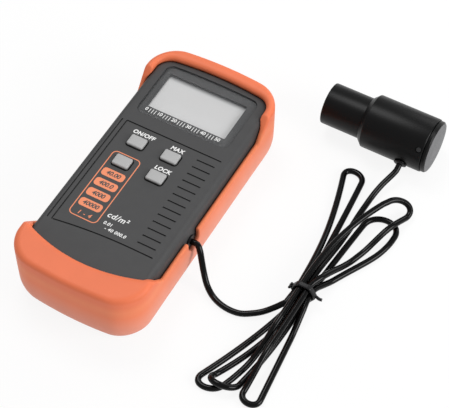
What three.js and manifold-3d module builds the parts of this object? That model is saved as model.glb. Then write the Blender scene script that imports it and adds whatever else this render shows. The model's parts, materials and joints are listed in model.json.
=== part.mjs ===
// A handheld luminance meter in a rubber holster, with a corded probe lying beside it.
// Millimetres. X runs across the meter, +Y towards its display, +Z up from the surface it lies on.
// The origin is the middle of the holster's back face.

import * as THREE from 'three';
import { mergeVertices } from 'three/addons/utils/BufferGeometryUtils.js';
import Module from 'manifold-3d';

const wasm = await Module();
wasm.setup();

// Clearances and cutting
const gap = 0.3; // between two pieces that touch
const threadClearance = 0.15; // round a screw in its hole
const overrun = 2; // how far a cutter passes the face that it opens
const halfShare = 0.5;

// Facets
const cornerSteps = 4;
const endSteps = 4;
const sideSteps = 2;
const smallSides = 10;
const roundSides = 32;

// Meter case
const caseWidth = 64.4;
const caseLength = 139;
const caseHeight = 29.7;
const caseCornerRadius = 8;
const caseEndBow = 2.6;
const caseWall = 2.2;
const faceWall = 2.6;
const backWall = 2.6;
const rearDepth = 16;
const faceEdgeInset = 3;
const faceEdgeDrop = 4.2;
const faceEdgeSteps = 3;
const backEdgeInset = 1.6;
const bossRadius = 3.3;
const boardPostRadius = 2.2;

// Holster
const holsterFloor = 3;
const holsterFootInset = 3.8;
const holsterFootEndInset = 5.4;
const holsterFootRadius = 14;
const holsterSideWall = 2.3;
const holsterEndWall = 5.2;
const holsterFlare = 0.6;
const holsterRimHeight = 36;
const holsterSideRim = 24.5;
const holsterRimRound = 2.4;
const holsterEndBow = 3;
const holsterSideSteps = 12;
const sideRimFromLowEnd = 24.5;
const sideRimFromHighEnd = 23.5;
const sideRimRamp = 12;
const rimLap = 1.3; // how far the rim reaches in over the case's rounded edge
const rimLapRise = 0.9; // the height of that edge above the face
const rimCrest = 1.2; // how far out of the case the rim is highest
const rimShares = [[0, 0], [0.3, 0.7], [1, 1]];
const lipLap = 8.8;
const lipBow = 6.1;
const lipCornerRadius = 1.2;
const notchWidth = 9.6;
const notchFloor = 12;
const backWindowMargin = 2.5;

// Display
const windowFromSide = 6.6;
const windowFromEnd = 5.3;
const windowLength = 34.2;
const windowThickness = 1.2;
const windowCornerRadius = 3.5;
const windowArch = 1;
const viewInsetX = 2.9;
const viewInsetY = 4.6;
const viewCornerRadius = 1.5;
const panelLapX = 0.8;
const panelLapY = 1.5;
const panelThickness = 2.8;
const panelFrameWall = 1.8;
const connectorInset = 1.5;
const connectorThickness = 2.2;

// Keys and their switches
const keyWidth = 9.2;
const keyLength = 6.8;
const keyCornerRadius = 1.4;
const keyProud = 1.7;
const keyChamfer = 0.5;
const keyHoleClearance = 0.5;
const keyFlangeLap = 0.4;
const keyFlangeThickness = 1;
const keyTravel = 1;
const switchSide = 6.2;
const switchHeight = 3.5;
const plungerRadius = 1.6;
const keyLeft = -14;
const keyRight = 4.8;
const keyHigh = 12.45;
const keyLow = -1.25;

// Fine lines moulded in the face
const lineWidth = 0.6;
const lineDepth = 0.5;
const outerLineFromSide = 4.1;
const lineSpacing = 2.5;
const sweepSteps = 8; // the bottom line sweeps up to the last grip
const topLineFromWindow = 7.8;
const bottomLineFromEnd = 23.9;
const gripFromLine = 3.6;
const gripFromSide = 6.1;
const gripLength = 9.8;
const gripLines = 15;
const stopLineExtra = 1.1;

// Main board
const boardThickness = 1.6;
const boardDrop = 7.4; // from the face wall's underside down to the board
const boardFromWall = 3.4;
const boardFromEnd = 5.5;
const boardFromBoss = 0.7;
const boardHeadFromBoss = 1;
const boardFromBattery = 7;
const boardScrewFromEdge = 2.5;
const boardScrewFromWindow = 3;
const boardScrewRadius = 0.9;
const boardScrewHeadRadius = 1.9;
const boardScrewHeadHeight = 1.3;
const boardScrewLength = 7.3;
const chipSide = 14;
const chipHeight = 1.8;
const chipX = -4;
const amplifierWidth = 6;
const amplifierLength = 5;
const amplifierHeight = 1.6;
const amplifierX = 0;
const amplifierY = 6;
const crystalWidth = 11;
const crystalLength = 4.6;
const crystalHeight = 3.6;
const crystalFromEdge = 6.5;
const crystalFromWindow = 8;
const trimmerSide = 6.6;
const trimmerHeight = 4.6;
const trimmerX = 8;
const trimmerFromWindow = 10;

// Battery, its snap and its cover
const batteryWidth = 26.5;
const batteryThickness = 17.5;
const batteryBody = 46;
const batteryFromEnd = 6;
const terminalHeight = 2.4;
const terminalSpacing = 12.7;
const studRadius = 2.9;
const socketRadius = 4;
const snapWidth = 25;
const snapHeight = 12.5;
const snapThickness = 3.4;
const leadRadius = 0.65;
const leadReach = 2.5; // how far the leads run under the board
const coverWidth = 27.6;
const coverThickness = 2.4;
const coverEndMargin = 2.7;
const coverPinRadius = 0.6;
const coverPinLength = 1.1;
const coverTabThickness = 1.4;
const coverTabHeight = 1.7;
const coverTabSetback = 2;
const coverTabWidth = 9;
const coverGripLines = 3;
const coverGripPitch = 2.2;
const coverGripWidth = 1;
const coverGripDepth = 0.6;
const coverGripLength = 14;
const foamThickness = 1.4;
const foamWidth = 22;
const foamLength = 34;
const cradleWall = 1.6;
const cradleHeight = 3.1;
const stopRibThickness = 1.6;
const stopRibLength = 20;
const stopRibSpacing = 14;

// Case screws
const screwFromSide = 6.6;
const screwFromWindow = 3.6;
const screwFromEnd = 11.1;
const screwRadius = 1.4;
const screwHeadRadius = 2.3;
const screwHeadHeight = 2;
const screwHeadDepth = 1;
const screwLength = 22;

// Cord and its strain relief in the case's side
const cordDiameter = 3;
const glandY = -17;
const glandNeckRadius = 2.9;
const glandFlangeRadius = 4.2;
const glandFlangeThickness = 1.4;
const glandCollarRadius = 3.4;
const glandCollarThickness = 0.6;
const cordSides = 8;
const leadSteps = 18;
const tailSteps = 12;
const leadRoute = [
  [38.6, -17.6, 17.5],
  [40.3, -19.1, 13],
  [42, -21.7, 8],
  [44.9, -25.6, 3.8],
  [49, -29.1, 1.9],
  [54.6, -31.4, 1.8],
  [61, -31.8, 1.8],
  [67, -31, 1.8],
  [71.4, -29.1, 1.9],
  [76.1, -25.4, 2.4],
  [80.8, -21, 4],
];
const tailRoute = [
  [90.6, 38, 1.7],
  [90.7, 48, 1.8],
  [91, 54, 2],
  [91.4, 59.5, 2.5],
  [92.1, 64.5, 3.3],
  [93.2, 69, 4.4],
  [94.7, 73.4, 5.6],
];

// Probe, lying on its side with its mouth towards -X
const probeMouthX = 49.5;
const probeAxisY = 95;
const barrelRadius = 14.1;
const barrelStart = 21.4; // from the mouth
const barrelLength = 35.4;
const barrelWall = 2.9;
const shoulderLength = 2.4;
const shoulderRim = 0.4;
const barrelEndChamfer = 0.7;
const noseWall = 1.8;
const noseInsert = 12;
const noseLedge = 1.6;
const noseLedgeLength = 5;
const endDiscThickness = 2.1;
const endDiscInset = 0.5;
const endPlugLength = 5;
const filterThickness = 2;
const ringThickness = 1.5;
const baffleThickness = 1;
const baffleApertureRadius = 3.6;
const diodeRadius = 4.2;
const diodeLength = 4;
const sensorBoardClearance = 0.7;
const sensorBoardThickness = 1.6;
const grommetFromMouth = 46.6;
const grommetDip = 22; // degrees below the horizontal
const grommetRadius = 2.6;
const grommetCollarRadius = 3.4;
const grommetCollarHeight = 1;
const grommetDepth = 4.6;
const grubFromMouth = 54.4;
const grubRise = 35; // degrees above the horizontal
const grubRadius = 1.3;
const grubRecess = 0.4;

// Hank: six folds of one cord, three on each side of a twist tie
const waistX = 89;
const waistY = -8;
const strandPitch = 3.55;
const tieThickness = 1.2;
const tieWidth = 2.6;
const tieLift = 0.1;
const tieArcSteps = 3;
const knotRadius = 1.5;
const knotLength = 4.2;
const twistRadius = 0.8;
const twistLength = 4.5;
const drawIn = 9; // length over which the strands draw in to the waist
const runSteps = 9;
const foldSteps = 6;
const hankSides = 6;
const leadIn = 6;
const leadInLean = 0.6;
const tailRun = 38;

// Derived places
const rearBack = holsterFloor + gap;
const caseFace = rearBack + caseHeight;
const rearTop = rearBack + rearDepth;
const frontBottom = rearTop + gap;
const faceUnderside = caseFace - faceWall;
const rearFloor = rearBack + backWall;
const boardUpper = faceUnderside - boardDrop;
const boardLower = boardUpper - boardThickness;
const windowWidth = caseWidth - 2 * windowFromSide;
const windowHigh = caseLength / 2 - windowFromEnd;
const windowLow = windowHigh - windowLength;
const windowCentreY = (windowHigh + windowLow) / 2;
const viewWidth = windowWidth - 2 * viewInsetX;
const viewLength = windowLength - 2 * viewInsetY;
const panelWidth = viewWidth + 2 * panelLapX;
const panelLength = viewLength + 2 * panelLapY;
const fieldOuterLeft = -caseWidth / 2 + outerLineFromSide;
const fieldLeft = fieldOuterLeft + lineSpacing;
const fieldTop = windowLow - topLineFromWindow;
const fieldBottom = -caseLength / 2 + bottomLineFromEnd;
const gripBottom = fieldBottom + gripFromLine;
const gripRight = caseWidth / 2 - gripFromSide;
const fieldRight = gripRight - gripLength;
const gripPitch = (fieldTop - gripBottom) / (gripLines - 1);
const sideRimLow = -caseLength / 2 + sideRimFromLowEnd;
const sideRimHigh = caseLength / 2 - sideRimFromHighEnd;
const batteryFar = -caseLength / 2 + batteryFromEnd;
const batteryNear = batteryFar + batteryBody;
const screwX = caseWidth / 2 - screwFromSide;
const screwHighY = windowLow - screwFromWindow;
const screwLowY = -caseLength / 2 + screwFromEnd;
const boardHeadWidth = caseWidth - 2 * (caseWall + boardFromWall);
const boardWaistWidth = 2 * (screwX - bossRadius - boardFromBoss);
const boardTop = caseLength / 2 - boardFromEnd;
const boardHeadBottom = screwHighY + bossRadius + boardHeadFromBoss;
const boardBottom = batteryNear + boardFromBattery;
const boardScrewX = boardWaistWidth / 2 - boardScrewFromEdge;
const boardScrewHighY = windowLow - boardScrewFromWindow;
const keyMiddleX = (keyLeft + keyRight) / 2;
const keyMiddleY = (keyHigh + keyLow) / 2;
const coverFar = batteryFar;
const coverNear = batteryNear + coverEndMargin;
const coverTop = rearBack + coverThickness;
const foamBottom = coverTop + gap;
const batteryBottom = foamBottom + foamThickness + gap;
const batteryTop = batteryBottom + batteryThickness;
const hatchHalfWidth = coverWidth / 2 + gap;
const glandZ = rearTop + gap / 2;
const probeAxisZ = barrelRadius;
const nosePlugEnd = barrelStart + noseInsert;
const barrelEnd = barrelStart + barrelLength;
const barrelBore = barrelRadius - barrelWall;
const noseRadius = barrelBore - gap;
const shoulderRadius = barrelBore + shoulderRim;
const sensorBoardRadius = barrelBore - sensorBoardClearance;
const noseBore = noseRadius - noseWall;
const ledgeBore = noseBore - noseLedge;
const cordRadius = cordDiameter / 2;
const boardScrewBottom = boardLower - gap - boardScrewHeadHeight;
const rowHeight = strandPitch * Math.sin(Math.PI / 3);
const cordRest = cordRadius + tieLift;
const lowRow = tieLift + tieThickness + gap + cordRadius;
const waistHeight = lowRow + rowHeight;

// Solids and booleans
function closed(geometry) {
  const bare = geometry.clone();
  bare.deleteAttribute('normal');
  bare.deleteAttribute('uv');
  const merged = mergeVertices(bare);
  const corners = merged.index.array;
  const places = merged.attributes.position;
  const kept = [];
  let volume = 0;
  const a = new THREE.Vector3();
  const b = new THREE.Vector3();
  const c = new THREE.Vector3();
  for (let i = 0; i < corners.length; i += 3) {
    const [p, q, r] = corners.slice(i, i + 3);
    if (p === q || q === r || r === p) continue;
    kept.push(p, q, r);
    a.fromBufferAttribute(places, p);
    b.fromBufferAttribute(places, q);
    c.fromBufferAttribute(places, r);
    volume += a.dot(b.cross(c));
  }
  if (volume < 0) kept.reverse();
  merged.setIndex(kept);
  return merged;
}

function toSolid(geometry) {
  const shell = closed(geometry);
  return new wasm.Manifold(new wasm.Mesh({
    numProp: 3,
    vertProperties: new Float32Array(shell.attributes.position.array),
    triVerts: new Uint32Array(shell.index.array),
  }));
}

function toGeometry(solid) {
  const mesh = solid.getMesh();
  const geometry = new THREE.BufferGeometry();
  geometry.setAttribute('position', new THREE.BufferAttribute(mesh.vertProperties, 3));
  geometry.setIndex(new THREE.BufferAttribute(mesh.triVerts, 1));
  return geometry;
}

function join(...shapes) {
  return toGeometry(shapes.map(toSolid).reduce((whole, next) => whole.add(next)));
}

function cut(shape, ...tools) {
  return toGeometry(tools.map(toSolid).reduce((whole, tool) => whole.subtract(tool), toSolid(shape)));
}

// Shapes
function outline(shape) {
  const { halfWidth, low, high, radius, lowRadius = radius } = shape;
  const { lowBow = 0, highBow = 0, sides = sideSteps } = shape;
  const points = [];
  const place = (x, y, bow) => points.push(new THREE.Vector2(x, y + bow * (x / halfWidth) ** 2));
  const corner = (x, y, r, start, bow) => {
    for (let i = 0; i <= cornerSteps; i += 1) {
      const angle = start + (Math.PI / 2) * (i / cornerSteps);
      place(x + r * Math.cos(angle), y + r * Math.sin(angle), bow);
    }
  };
  const end = (from, to, y, bow) => {
    for (let i = 1; i < endSteps; i += 1) place(from + (to - from) * (i / endSteps), y, bow);
  };
  const side = (x, from, to) => {
    for (let i = 1; i < sides; i += 1) points.push(new THREE.Vector2(x, from + (to - from) * (i / sides)));
  };
  const inner = halfWidth - radius;
  const lowInner = halfWidth - lowRadius;
  side(halfWidth, low + lowRadius + lowBow, high - radius - highBow);
  corner(inner, high - radius, radius, 0, -highBow);
  end(inner, -inner, high, -highBow);
  corner(-inner, high - radius, radius, Math.PI / 2, -highBow);
  side(-halfWidth, high - radius - highBow, low + lowRadius + lowBow);
  corner(-lowInner, low + lowRadius, lowRadius, Math.PI, lowBow);
  end(-lowInner, lowInner, low, lowBow);
  corner(lowInner, low + lowRadius, lowRadius, Math.PI * 1.5, lowBow);
  return points;
}

function rectangle(centre, width, length, radius) {
  return outline({
    halfWidth: width / 2,
    low: -length / 2,
    high: length / 2,
    radius,
  }).map((p) => new THREE.Vector2(p.x + centre[0], p.y + centre[1]));
}

// A closed skin over outlines of equal point count, from the lowest to the highest.
function loft(rings) {
  const count = rings[0].points.length;
  const places = rings.flatMap(({ z, points }) => points.flatMap((p) => [p.x, p.y, z]));
  const faces = [];
  for (let ring = 1; ring < rings.length; ring += 1) {
    const lower = (ring - 1) * count;
    const upper = ring * count;
    for (let i = 0; i < count; i += 1) {
      const j = (i + 1) % count;
      faces.push(lower + i, lower + j, upper + j, lower + i, upper + j, upper + i);
    }
  }
  const last = (rings.length - 1) * count;
  for (const [a, b, c] of THREE.ShapeUtils.triangulateShape(rings[0].points, [])) faces.push(a, c, b);
  for (const [a, b, c] of THREE.ShapeUtils.triangulateShape(rings.at(-1).points, [])) {
    faces.push(last + a, last + b, last + c);
  }
  const geometry = new THREE.BufferGeometry();
  geometry.setAttribute('position', new THREE.Float32BufferAttribute(places, 3));
  geometry.setIndex(faces);
  return geometry;
}

function prism(points, low, high) {
  return loft([{ z: low, points }, { z: high, points }]);
}

function box(x, y, z) {
  const geometry = new THREE.BoxGeometry(x[1] - x[0], y[1] - y[0], z[1] - z[0]);
  return geometry.translate((x[0] + x[1]) / 2, (y[0] + y[1]) / 2, (z[0] + z[1]) / 2);
}

function block([x, y], [width, length, height], bottom) {
  return box([x - width / 2, x + width / 2], [y - length / 2, y + length / 2], [bottom, bottom + height]);
}

function post([x, y], radius, low, high, sides = smallSides) {
  const geometry = new THREE.CylinderGeometry(radius, radius, high - low, sides);
  return geometry.rotateX(Math.PI / 2).translate(x, y, (low + high) / 2);
}

// A turned piece from (radius, height) pairs, standing on the origin along +Z.
function turned(profile, sides = roundSides) {
  const points = profile.map(([radius, height]) => new THREE.Vector2(radius, height));
  return closed(new THREE.LatheGeometry(points, sides)).rotateX(Math.PI / 2);
}

const alongX = new THREE.Vector3(1, 0, 0);
const alongY = new THREE.Vector3(0, 1, 0);

function pointed(geometry, from, direction) {
  const turn = new THREE.Quaternion().setFromUnitVectors(new THREE.Vector3(0, 0, 1), direction);
  return geometry.applyQuaternion(turn).translate(from.x, from.y, from.z);
}

// A flat outline in (Y, Z), carried along X.
function acrossX(points, from, to) {
  const shape = new THREE.Shape(points);
  const geometry = new THREE.ExtrudeGeometry(shape, { depth: to - from, bevelEnabled: false });
  const axes = new THREE.Matrix4().makeBasis(
    new THREE.Vector3(0, 1, 0),
    new THREE.Vector3(0, 0, 1),
    alongX,
  );
  return geometry.applyMatrix4(axes).translate(from, 0, 0);
}

function screw(headRadius, headHeight, shankRadius, length) {
  return turned([
    [0, 0],
    [headRadius, 0],
    [headRadius, headHeight],
    [shankRadius, headHeight],
    [shankRadius, length],
    [0, length],
  ], smallSides);
}

function ringPoints(radius, sides) {
  return Array.from({ length: sides }, (_, i) => {
    const angle = (i + halfShare) * ((2 * Math.PI) / sides);
    return new THREE.Vector2(radius * Math.cos(angle), radius * Math.sin(angle));
  });
}

function wire(points, radius, sides, steps) {
  const path = new THREE.CatmullRomCurve3(points.map((p) => new THREE.Vector3(...p)));
  const section = new THREE.Shape(ringPoints(radius, sides));
  return closed(new THREE.ExtrudeGeometry(section, { steps, extrudePath: path, bevelEnabled: false }));
}

const group = new THREE.Group();
group.name = 'luminance_meter';

function add(name, geometry, finish) {
  const mesh = new THREE.Mesh(closed(geometry), new THREE.MeshStandardMaterial(finish));
  mesh.name = name;
  group.add(mesh);
}

const finishes = {
  rubber: { color: 0xf07a42, roughness: 0.6, metalness: 0 },
  case: { color: 0x4c4d4f, roughness: 0.55, metalness: 0 },
  key: { color: 0xb9bbbd, roughness: 0.5, metalness: 0 },
  clear: { color: 0xc8ccc8, roughness: 0.1, metalness: 0 },
  display: { color: 0xcdd0cd, roughness: 0.3, metalness: 0 },
  blackPlastic: { color: 0x151517, roughness: 0.4, metalness: 0 },
  board: { color: 0x1d6b3c, roughness: 0.5, metalness: 0 },
  metal: { color: 0xb5b7ba, roughness: 0.3, metalness: 1 },
  battery: { color: 0x2b3b55, roughness: 0.4, metalness: 0.2 },
  red: { color: 0xb3261e, roughness: 0.5, metalness: 0 },
  foam: { color: 0x3a3a3c, roughness: 0.95, metalness: 0 },
  cord: { color: 0x161617, roughness: 0.4, metalness: 0 },
  probe: { color: 0x1a1a1c, roughness: 0.35, metalness: 0 },
  disc: { color: 0x8f9194, roughness: 0.45, metalness: 0.2 },
  filter: { color: 0x6fae8c, roughness: 0.05, metalness: 0 },
  blue: { color: 0x2f5fa8, roughness: 0.4, metalness: 0 },
};

// The case's outline, grown or shrunk all round
function caseOutline(grow) {
  return outline({
    halfWidth: caseWidth / 2 + grow,
    low: -caseLength / 2 - grow,
    high: caseLength / 2 + grow,
    radius: caseCornerRadius + grow,
    lowBow: caseEndBow,
    highBow: caseEndBow,
  });
}

// Rings of the rounded edge between the case's sides and its face
function faceEdge(grow, lift) {
  return Array.from({ length: faceEdgeSteps + 1 }, (_, i) => {
    const angle = (Math.PI / 2) * (i / faceEdgeSteps);
    return {
      z: caseFace - faceEdgeDrop + faceEdgeDrop * Math.sin(angle) + lift,
      points: caseOutline(grow - faceEdgeInset * (1 - Math.cos(angle))),
    };
  });
}

const screwPlaces = [
  [screwX, screwHighY],
  [-screwX, screwHighY],
  [screwX, screwLowY],
  [-screwX, screwLowY],
];
const boardScrewPlaces = [
  [boardScrewX, boardScrewHighY],
  [keyMiddleX, boardScrewHighY],
  [boardScrewX, keyMiddleY],
  [-boardScrewX, keyMiddleY],
];
const keyPlaces = {
  power: [keyLeft, keyHigh],
  range: [keyLeft, keyLow],
  peak: [keyRight, keyHigh],
  hold: [keyRight, keyLow],
};

function glandHole() {
  const bore = post([0, 0], glandNeckRadius + gap, -caseWall - overrun, overrun, smallSides);
  return pointed(bore, new THREE.Vector3(caseWidth / 2, glandY, glandZ), alongX);
}

// Holster: a thick boot with high ends, low sides, a cord notch and a window over the battery cover
function holsterRing(z, halfWidth, halfLength, flare) {
  const points = outline({
    halfWidth,
    low: -halfLength,
    high: halfLength,
    radius: holsterFootRadius,
    lowBow: holsterEndBow,
    highBow: holsterEndBow,
    sides: holsterSideSteps,
  });
  const spread = (y) => {
    const start = y < 0 ? -sideRimLow : sideRimHigh;
    return THREE.MathUtils.smoothstep(Math.abs(y), start - sideRimRamp / 2, start + sideRimRamp);
  };
  const flared = (p) => new THREE.Vector2(p.x * (1 + (flare * spread(p.y)) / halfWidth), p.y);
  return { z, points: points.map(flared) };
}

function holsterWindow() {
  const reach = hatchHalfWidth + backWindowMargin;
  return box(
    [-reach, reach],
    [coverFar - gap - backWindowMargin, coverNear + gap + backWindowMargin],
    [-overrun, holsterFloor + overrun],
  );
}

function holsterNotch() {
  const half = notchWidth / 2;
  const notch = new THREE.Shape();
  notch.absarc(glandY, notchFloor + half, half, Math.PI, 2 * Math.PI, false);
  notch.lineTo(glandY + half, holsterRimHeight);
  notch.lineTo(glandY - half, holsterRimHeight);
  return acrossX(notch.getPoints(cornerSteps), caseWidth / 2 - caseWall, caseWidth / 2 + holsterRimHeight);
}

// The mouth widens upwards, from the edge that laps the case to the crest of the rim
function mouthOutline(outShare) {
  const spread = (rimLap + rimCrest) * outShare;
  return outline({
    halfWidth: caseWidth / 2 - rimLap + spread,
    low: -caseLength / 2 + lipLap - spread,
    high: caseLength / 2 - rimLap + spread,
    radius: caseCornerRadius - rimLap + spread,
    lowRadius: lipCornerRadius,
    lowBow: lipBow,
    highBow: caseEndBow,
  });
}

function holster() {
  const sideHalf = caseWidth / 2 + gap + holsterSideWall;
  const endHalf = caseLength / 2 + gap + holsterEndWall;
  const footHalf = sideHalf - holsterFootInset;
  const footEnd = endHalf - holsterFootEndInset;
  const footShares = [[0, 0], [0.45, 0.08], [0.8, 0.22], [1, 0.45]];
  const rings = footShares.map(([outShare, upShare]) => holsterRing(
    holsterSideRim * upShare,
    footHalf + (sideHalf - footHalf) * outShare,
    footEnd + (endHalf - footEnd) * outShare,
    holsterFlare * upShare,
  ));
  rings.push(holsterRing(holsterRimHeight - 3 * holsterRimRound, sideHalf, endHalf, holsterFlare));
  for (const roundShare of [0, 0.5, 0.87, 1]) {
    const rise = Math.sqrt(1 - (1 - roundShare) ** 2);
    rings.push(holsterRing(
      holsterRimHeight - holsterRimRound * (1 - rise),
      sideHalf - holsterRimRound * roundShare,
      endHalf - holsterRimRound * roundShare,
      holsterFlare,
    ));
  }
  const cavity = loft([
    { z: holsterFloor, points: caseOutline(gap - backEdgeInset) },
    { z: holsterFloor + backEdgeInset, points: caseOutline(gap) },
    ...faceEdge(gap, gap),
  ]);
  const lapTop = caseFace + rimLapRise;
  const mouth = loft([
    { z: caseFace - faceEdgeDrop, points: mouthOutline(0) },
    ...rimShares.map(([outShare, upShare]) => (
      { z: THREE.MathUtils.lerp(lapTop, holsterRimHeight, upShare), points: mouthOutline(outShare) }
    )),
    { z: holsterRimHeight + overrun, points: mouthOutline(1) },
  ]);
  const sideRelief = acrossX([
    new THREE.Vector2(sideRimLow, holsterSideRim),
    new THREE.Vector2(sideRimHigh, holsterSideRim),
    new THREE.Vector2(sideRimHigh + sideRimRamp, holsterRimHeight + overrun),
    new THREE.Vector2(sideRimLow - sideRimRamp, holsterRimHeight + overrun),
  ], -caseWidth, caseWidth);
  return cut(loft(rings), cavity, mouth, sideRelief, holsterNotch(), holsterWindow());
}

// Front case: the rounded face with its openings, bosses, board posts and fine lines
function faceLines() {
  const line = (x, y) => box(x, y, [caseFace - lineDepth, caseFace + overrun]);
  const half = lineWidth / 2;
  const across = (from, to, y) => line([from, to], [y - half, y + half]);
  const along = (x) => line([x - half, x + half], [fieldBottom, fieldTop]);
  const sweep = (i, grow) => {
    const x = THREE.MathUtils.lerp(fieldRight, fieldLeft, i / sweepSteps);
    return new THREE.Vector2(x, gripBottom - gripFromLine * (i / sweepSteps) ** 2 + grow);
  };
  const steps = Array.from({ length: sweepSteps + 1 }, (_, i) => i);
  const swept = [...steps.map((i) => sweep(i, half)), ...steps.reverse().map((i) => sweep(i, -half))];
  const lines = [
    along(fieldLeft),
    along(fieldOuterLeft),
    across(fieldLeft, fieldRight, fieldTop),
    prism(swept, caseFace - lineDepth, caseFace + overrun),
  ];
  for (let i = 0; i < gripLines; i += 1) {
    const y = fieldTop - gripPitch * i;
    const extra = i === 0 || i === gripLines - 1 ? stopLineExtra : 0;
    lines.push(across(fieldRight - extra / 2, gripRight + extra, y));
  }
  return lines;
}

function windowOutline(grow) {
  return outline({
    halfWidth: windowWidth / 2 + grow,
    low: windowLow - grow,
    high: windowHigh + grow,
    radius: windowCornerRadius + grow,
    highBow: windowArch,
  });
}

function frontCase() {
  const shell = loft([{ z: frontBottom, points: caseOutline(0) }, ...faceEdge(0, 0)]);
  const hollow = prism(caseOutline(-caseWall), frontBottom - overrun, faceUnderside);
  const buried = faceUnderside + faceWall / 2;
  const bosses = screwPlaces.map((place) => post(place, bossRadius, frontBottom, buried));
  const posts = boardScrewPlaces.map((place) => post(place, boardPostRadius, boardUpper + gap, buried));
  const ribs = [-1, 1].map((way) => box(
    [way * stopRibSpacing / 2 - stopRibThickness / 2, way * stopRibSpacing / 2 + stopRibThickness / 2],
    [(batteryFar + batteryNear - stopRibLength) / 2, (batteryFar + batteryNear + stopRibLength) / 2],
    [batteryTop + gap, buried],
  ));
  const pocket = prism(windowOutline(gap), caseFace - windowThickness - gap, caseFace + overrun);
  const view = prism(
    rectangle([0, windowCentreY], viewWidth, viewLength, viewCornerRadius),
    faceUnderside - overrun,
    caseFace,
  );
  const keyHoles = Object.values(keyPlaces).map((place) => prism(
    rectangle(
      place,
      keyWidth + 2 * keyHoleClearance,
      keyLength + 2 * keyHoleClearance,
      keyCornerRadius + keyHoleClearance,
    ),
    faceUnderside - overrun,
    caseFace + overrun,
  ));
  const screwHoles = screwPlaces.map((place) => post(
    place,
    screwRadius + threadClearance,
    frontBottom - overrun,
    rearBack + screwHeadDepth + screwLength + gap,
  ));
  const postHoles = boardScrewPlaces.map((place) => post(
    place,
    boardScrewRadius + threadClearance,
    boardLower,
    boardScrewBottom + boardScrewLength + gap,
  ));
  const body = join(cut(shell, hollow), ...bosses, ...posts, ...ribs);
  return cut(body, pocket, view, ...keyHoles, ...screwHoles, ...postHoles, ...faceLines(), glandHole());
}

// Rear case: an open tray with screw bosses, a battery hatch and the cradle round it
function hatch(low, high) {
  return box([-hatchHalfWidth, hatchHalfWidth], [coverFar - gap, coverNear + gap], [low, high]);
}

function rearCase() {
  const shell = loft([
    { z: rearBack, points: caseOutline(-backEdgeInset) },
    { z: rearBack + backEdgeInset, points: caseOutline(0) },
    { z: rearTop, points: caseOutline(0) },
  ]);
  const hollow = prism(caseOutline(-caseWall), rearFloor, rearTop + overrun);
  const bosses = screwPlaces.map((place) => post(place, bossRadius, rearBack + backWall / 2, rearTop));
  const cradle = box(
    [-hatchHalfWidth - cradleWall, hatchHalfWidth + cradleWall],
    [coverFar - gap - cradleWall, coverNear + gap + cradleWall],
    [rearBack + backWall / 2, rearFloor + cradleHeight],
  );
  const heads = screwPlaces.map((place) => post(
    place,
    screwHeadRadius + gap,
    rearBack - overrun,
    rearBack + screwHeadDepth + screwHeadHeight + gap,
  ));
  const shankHole = screwRadius + threadClearance;
  const shanks = screwPlaces.map((place) => post(place, shankHole, rearBack, rearTop + overrun));
  const pinReach = coverWidth / 2 + coverPinLength;
  const hinge = pointed(
    post([0, 0], coverPinRadius + gap, -pinReach - gap, pinReach + gap),
    new THREE.Vector3(0, coverFar + coverThickness / 2, rearBack + coverThickness / 2),
    alongX,
  );
  const body = join(cut(shell, hollow), ...bosses, cradle);
  return cut(body, hatch(rearBack - overrun, rearTop), hinge, ...heads, ...shanks, glandHole());
}

// Battery cover: a plate with a round hinge edge, two pins, a snap tab and a finger grip
function batteryCover() {
  const half = coverThickness / 2;
  const axisY = coverFar + half;
  const axisZ = rearBack + half;
  const side = new THREE.Shape();
  side.absarc(axisY, axisZ, half, Math.PI * 0.5, Math.PI * 1.5, false);
  side.lineTo(coverNear, rearBack);
  side.lineTo(coverNear, coverTop);
  const plate = acrossX(side.getPoints(cornerSteps), -coverWidth / 2, coverWidth / 2);
  const pinReach = coverWidth / 2 + coverPinLength;
  const pin = pointed(
    post([0, 0], coverPinRadius, -pinReach, pinReach),
    new THREE.Vector3(0, axisY, axisZ),
    alongX,
  );
  const tab = box(
    [-coverTabWidth / 2, coverTabWidth / 2],
    [coverNear - coverTabSetback - coverTabThickness, coverNear - coverTabSetback],
    [coverTop - half, coverTop + coverTabHeight],
  );
  const grips = Array.from({ length: coverGripLines }, (_, i) => {
    const y = coverNear - coverTabSetback - coverGripPitch * (i + 1);
    return box(
      [-coverGripLength / 2, coverGripLength / 2],
      [y - coverGripWidth / 2, y + coverGripWidth / 2],
      [rearBack - overrun, rearBack + coverGripDepth],
    );
  });
  return cut(join(plate, pin, tab), ...grips);
}

function addCase() {
  add('holster', holster(), finishes.rubber);
  add('front_case', frontCase(), finishes.case);
  add('rear_case', rearCase(), finishes.case);
  add('battery_cover', batteryCover(), finishes.case);
  screwPlaces.forEach(([x, y], i) => {
    const fastener = screw(screwHeadRadius, screwHeadHeight, screwRadius, screwLength);
    add(`case_screw_${i + 1}`, fastener.translate(x, y, rearBack + screwHeadDepth), finishes.metal);
  });
}

// Display: clear window, panel, its frame and the two rubber connector strips
function addDisplay() {
  const panelTop = faceUnderside - gap;
  const panelBottom = panelTop - panelThickness;
  const middle = [0, windowCentreY];
  const standing = boardUpper + gap;
  add('display_window', prism(windowOutline(0), caseFace - windowThickness, caseFace), finishes.clear);
  const panel = block(middle, [panelWidth, panelLength, panelThickness], panelBottom);
  add('display_panel', panel, finishes.display);
  const pane = [panelWidth + 2 * gap, panelLength + 2 * gap];
  const rim = pane.map((side) => side + 2 * panelFrameWall);
  const frameHeight = panelTop - standing;
  const frame = cut(
    block(middle, [...rim, frameHeight], standing),
    block(middle, [...pane, frameHeight + 2 * overrun], standing - overrun),
  );
  add('display_frame', frame, finishes.blackPlastic);
  const strip = [panelWidth - 2 * connectorInset, connectorThickness, panelBottom - gap - standing];
  const stripY = (panelLength - connectorThickness) / 2 - gap;
  for (const [name, way] of [['display_connector_upper', 1], ['display_connector_lower', -1]]) {
    add(name, block([0, windowCentreY + way * stripY], strip, standing), finishes.foam);
  }
}

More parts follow.
